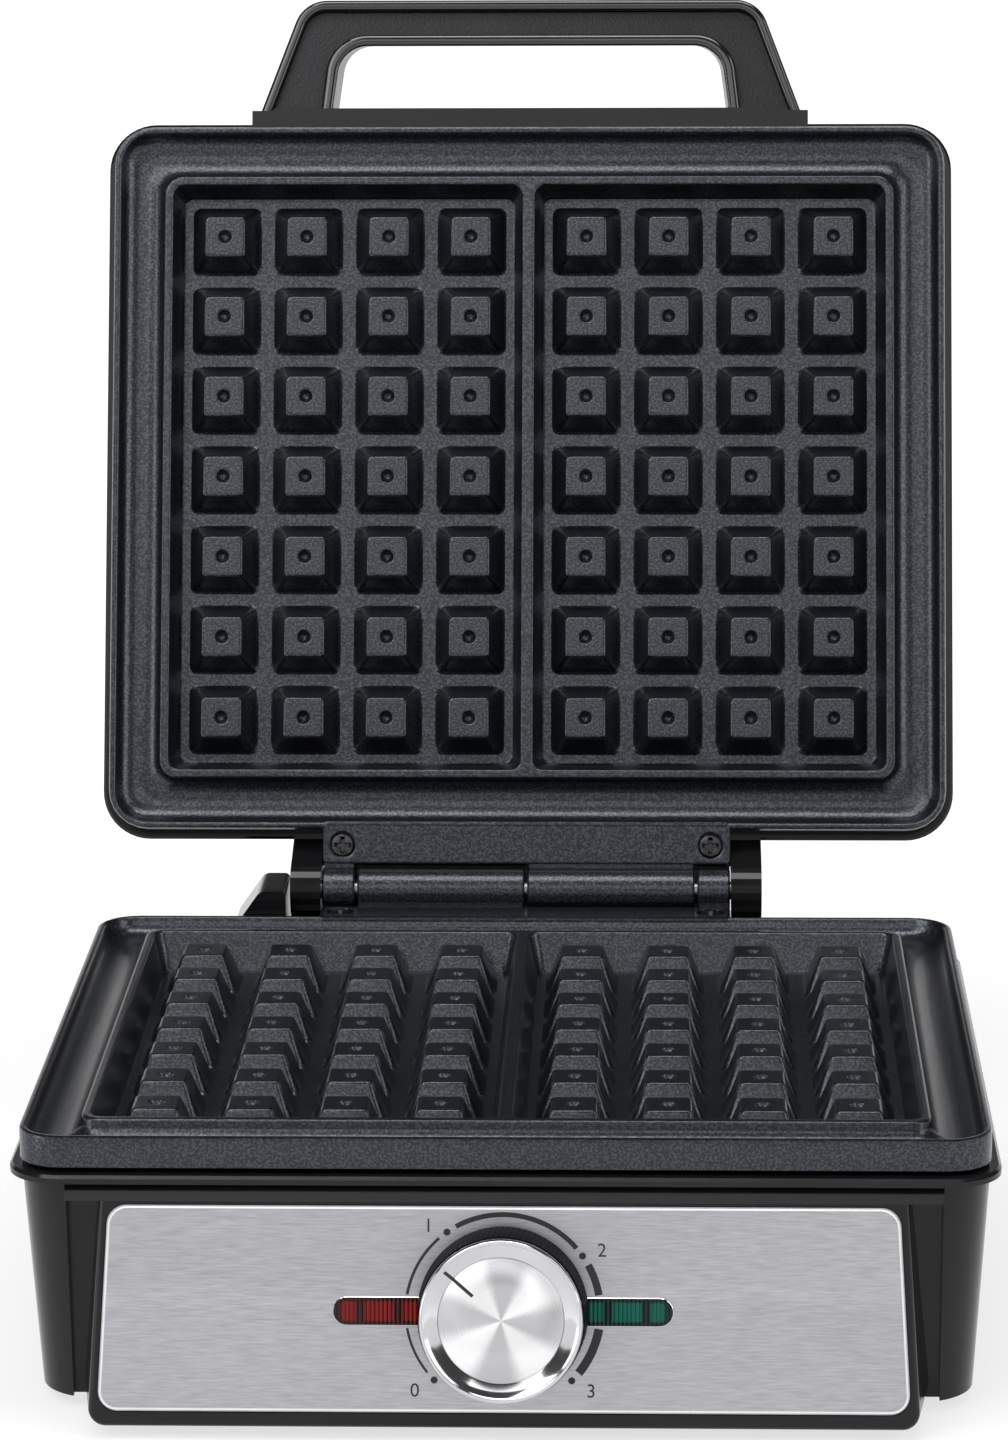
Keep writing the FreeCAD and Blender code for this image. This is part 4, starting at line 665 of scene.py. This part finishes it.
def lathe(bm, profile, count, wave=None):
    """Surface turned about Z from radius, height pairs."""
    rings = []
    for radius, z in profile:
        ring = []
        for i in range(count):
            turn = 2 * math.pi * i / count
            ring.append((*polar(radius + (wave(turn, z) if wave else 0.0), turn), z))
        rings.append(add_ring(bm, ring))
    skin(bm, rings)
    return rings


def flute(turn, z):
    """How far the skirt's surface lies below its plain cone."""
    inside = KNOB_LOW + FLUTE_START < z < KNOB_SKIRT_TOP - FLUTE_STOP
    return -FLUTE_DEPTH * (0.5 + 0.5 * math.cos(FLUTES * turn)) if inside else -0.5 * FLUTE_DEPTH


def knob_skirt():
    """Black skirt with fine upright flutes."""
    rise = KNOB_SKIRT_TOP - KNOB_LOW
    lean = (KNOB_BASE_R - KNOB_WAIST_R) / rise
    heights = list(SKIRT_UP) + [rise - down for down in SKIRT_DOWN]
    profile = [(KNOB_BASE_R - lean * h, KNOB_LOW + h) for h in heights]
    profile = [(KNOB_BORE_LOW, KNOB_LOW)] + profile + [(KNOB_BORE_TOP, KNOB_SKIRT_TOP)]
    bm = bmesh.new()
    rings = lathe(bm, profile, FLUTES * FLUTE_STEPS, flute)
    bm.faces.new(rings[0])
    bm.faces.new(rings[-1])
    finish_piece(bm, "fluted_skirt", ON_DIAL, "knob", "skirt_black", SHARP_TURNED, "knob_skirt")


def knob_rim():
    """Polished bead with a dished inner ring."""
    low, top, dish = KNOB_SKIRT_TOP, KNOB_TOP, KNOB_TOP - KNOB_DISH
    outer, bead = KNOB_RIM_R, KNOB_RIM_R - KNOB_BEAD
    profile = [(KNOB_FACE_R, low), (outer, low)]
    profile += [(outer - inset, top - drop) for inset, drop in BEAD_OUTSIDE]
    profile += [(bead - inset, top - drop) for inset, drop in BEAD_INSIDE]
    profile += [(KNOB_FACE_R + outset, dish + rise) for outset, rise in DISH_STEPS]
    profile.append((KNOB_FACE_R, low))
    bm = bmesh.new()
    lathe(bm, profile, TURNED_STEPS)
    finish_piece(bm, "polished_rim", ON_DIAL, "knob", "chrome_trim", SHARP_TURNED, "knob_rim")


def knob_face():
    """Flat spun disc inside the rim."""
    high = KNOB_TOP - KNOB_DISH
    profile = [(KNOB_FACE_R, KNOB_SKIRT_TOP), (KNOB_FACE_R, high - FACE_EDGE), (KNOB_FACE_R - FACE_EDGE, high),
               (KNOB_FACE_R / 2, high), (FACE_EYE, high)]
    bm = bmesh.new()
    rings = lathe(bm, profile, TURNED_STEPS)
    bm.faces.new(rings[-1])
    bm.faces.new(rings[0])
    finish_piece(bm, "spun_face", ON_DIAL, "knob", "spun_metal", SHARP_TURNED, "knob_face")


def knob_pointer():
    """Dark inlaid line from the face out over the dished ring."""
    high = KNOB_TOP - KNOB_DISH
    run = Matrix.Rotation(POINTER_ANGLE, 4, "Z")
    half = POINTER_W / 2
    line = [(POINTER_IN, high + POINTER_LIFT), (KNOB_FACE_R, high + POINTER_EDGE_LIFT),
            (KNOB_FACE_R + DISH_W, high + POINTER_RING_LIFT), (POINTER_OUT, KNOB_TOP - POINTER_END_DROP)]
    bm = bmesh.new()
    strip(bm, [add_ring(bm, [run @ Vector((r, s, z)) for s in (half, -half)]) for r, z in line])
    finish_piece(bm, "pointer_line", ON_DIAL, "knob", "dial_ink")


def dial_print():
    """Heat scale round the knob: arcs that widen, with a dot at each mark."""
    level = PANEL_FRONT + PRINT_LIFT
    bm = bmesh.new()
    for start, end, width in ARCS:
        count = max(ARC_LEAST, abs(start - end) // ARC_STEP)
        rows = []
        for i in range(count + 1):
            turn = math.radians(start + (end - start) * i / count)
            rows.append(add_ring(bm, [(*polar(DIAL_R + s * width / 2, turn), level) for s in (-1, 1)]))
        strip(bm, rows)
    for _, mark, _, _ in NUMBERS:
        bm.faces.new(add_ring(bm, circle(DOT_R, level, DOT_STEPS, polar(DIAL_R, math.radians(mark)))))
    finish_piece(bm, "heat_scale", ON_DIAL, "base", "dial_ink")


def dial_number(text, mark, beside, above):
    """One number outside its dot, as a thin printed mesh."""
    curve = bpy.data.curves.new("number_" + text, "FONT")
    curve.body = text
    curve.size = NUMBER_SIZE * MM
    curve.align_x = "CENTER"
    curve.align_y = "CENTER"
    holder = bpy.data.objects.new("number_" + text, curve)
    mesh = bpy.data.meshes.new_from_object(holder)
    bpy.data.objects.remove(holder)
    mesh.materials.clear()
    spot = (*polar(DIAL_R, math.radians(mark), (beside, above)), PANEL_FRONT + PRINT_LIFT)
    settle(mesh, "dial_number_" + text, ON_DIAL @ Matrix.Translation(spot), "base", "dial_ink")


def signal_window(side, name, node, material):
    """Ribbed lens with a round outer end."""
    half, steps = LENS_H / 2, LENS_RIBS * RIB_STEPS
    bm = bmesh.new()
    rings = []
    for i in range(steps + 1):
        x = LENS_START + (LENS_END - LENS_START) * i / steps
        over = max(0.0, x - (LENS_END - half))
        tall = math.sqrt(max(LENS_TIP_SQUARED, half * half - over * over))
        height = LENS_FRONT - RIB_DEPTH + RIB_DEPTH * abs(math.sin(math.pi * i / RIB_STEPS))
        front = [(side * x, t * tall, height) for t in LENS_ACROSS]
        rings.append(add_ring(bm, front + [(side * x, t * tall, LENS_BACK) for t in (1, -1)]))
    skin(bm, rings)
    bm.faces.new(rings[0])
    bm.faces.new(rings[-1])
    finish_piece(bm, name, ON_DIAL, "base", material, SHARP_SOFT, node)


# Stage, light and camera

def backdrop_material():
    """Pale floor that takes the shadow near the object and is plain white further out."""
    material, tree, shader = new_material("pale_floor", Roughness=0.6, Emission_Color=(1, 1, 1, 1))
    place = coordinates(tree)
    tone = noise(tree, place, scale=3.0)
    away = add_node(tree, "ShaderNodeVectorMath", {0: place}, operation="LENGTH").outputs["Value"]
    far = stretch(tree, away, source=(SHADE_NEAR, SHADE_FAR), target=(SHADE_GLOW, 1.0))
    path = add_node(tree, "ShaderNodeLightPath").outputs
    seen = path["Is Camera Ray"]
    for other in ("Is Glossy Ray", "Is Transmission Ray"):
        seen = compute(tree, "MAXIMUM", seen, path[other])
    connect(tree, shader, Base_Color=tint(tree, tone, FLOOR_DARK, FLOOR_LIGHT),
            Emission_Strength=compute(tree, "MULTIPLY", far, seen))
    return material


def stage():
    """Wide round floor that curves up into a wall far out, so that every side has the same pale ground."""
    bm = bmesh.new()
    rings = [add_ring(bm, circle(radius, z, FLOOR_STEPS)) for radius, z in FLOOR_RINGS]
    skin(bm, rings)
    bm.faces.new(rings[-1])
    floor = add_object("floor", to_mesh(bm, "floor"))
    floor.data.materials.append(backdrop_material())


def room():
    """Dim even light from all round."""
    world = bpy.data.worlds.new("room")
    bpy.context.scene.world = world
    world.use_nodes = True
    back = world.node_tree.nodes["Background"]
    back.inputs["Color"].default_value = (1, 1, 1, 1)
    back.inputs["Strength"].default_value = ROOM_LIGHT


def lamp(name, place, target, size, power):
    """Rectangular lamp aimed at a point."""
    data = bpy.data.lights.new(name, "AREA")
    data.shape = "RECTANGLE"
    data.size, data.size_y = size
    data.energy = power
    holder = add_object(name, data)
    holder.location = place
    holder.rotation_euler = (Vector(target) - Vector(place)).to_track_quat("-Z", "Y").to_euler()


def camera():
    """Camera fitted to the photograph's viewing angle."""
    turn, tip, tilt = (Matrix.Rotation(angle, 3, axis) for angle, axis in
                       ((-CAMERA_YAW, "Z"), (CAMERA_PITCH, "X"), (CAMERA_ROLL, "Y")))
    right, ahead, up = (tilt @ tip @ turn).row
    data = bpy.data.cameras.new("photo_camera")
    data.sensor_fit = "VERTICAL"
    data.sensor_height = CAMERA_SENSOR
    data.lens = CAMERA_LENS
    data.clip_end = CAMERA_CLIP
    holder = add_object("photo_camera", data)
    place = Matrix((right, up, -ahead)).transposed().to_4x4()
    place.translation = CAMERA_PLACE * MM
    holder.matrix_world = place
    bpy.context.scene.camera = holder


def dress_solids():
    """Gives each solid the finish of its slot in the record."""
    for part in frame["record"]["subparts"]:
        mesh = nodes[part["node"]].data
        mesh.materials.clear()
        mesh.materials.append(MATERIALS[part["material_slot"]])


def main():
    """Dresses the solids, adds the fine pieces and sets the stage."""
    dress_solids()
    waffle_plate("studded_plate_low", "lower_plate", ON_BASE, "base", HINGE_RISE)
    waffle_plate("studded_plate_top", "upper_plate", ON_LID, "lid", CLOSED_GAP - HINGE_RISE)
    plate_screws("low_flange_screws", "lower_plate_screws", ON_BASE, "base")
    plate_screws("top_flange_screws", "upper_plate_screws", ON_LID, "lid")
    handle_rims()
    panel_edge()
    knob_skirt()
    knob_rim()
    knob_face()
    knob_pointer()
    dial_print()
    for number in NUMBERS:
        dial_number(*number)
    signal_window(-1, "power_window", "power_lens", "red_lens")
    signal_window(1, "ready_window", "ready_lens", "green_lens")
    stage()
    room()
    for setting in LAMPS:
        lamp(*setting)
    camera()
    bpy.context.scene.view_settings.view_transform = "Standard"


main()
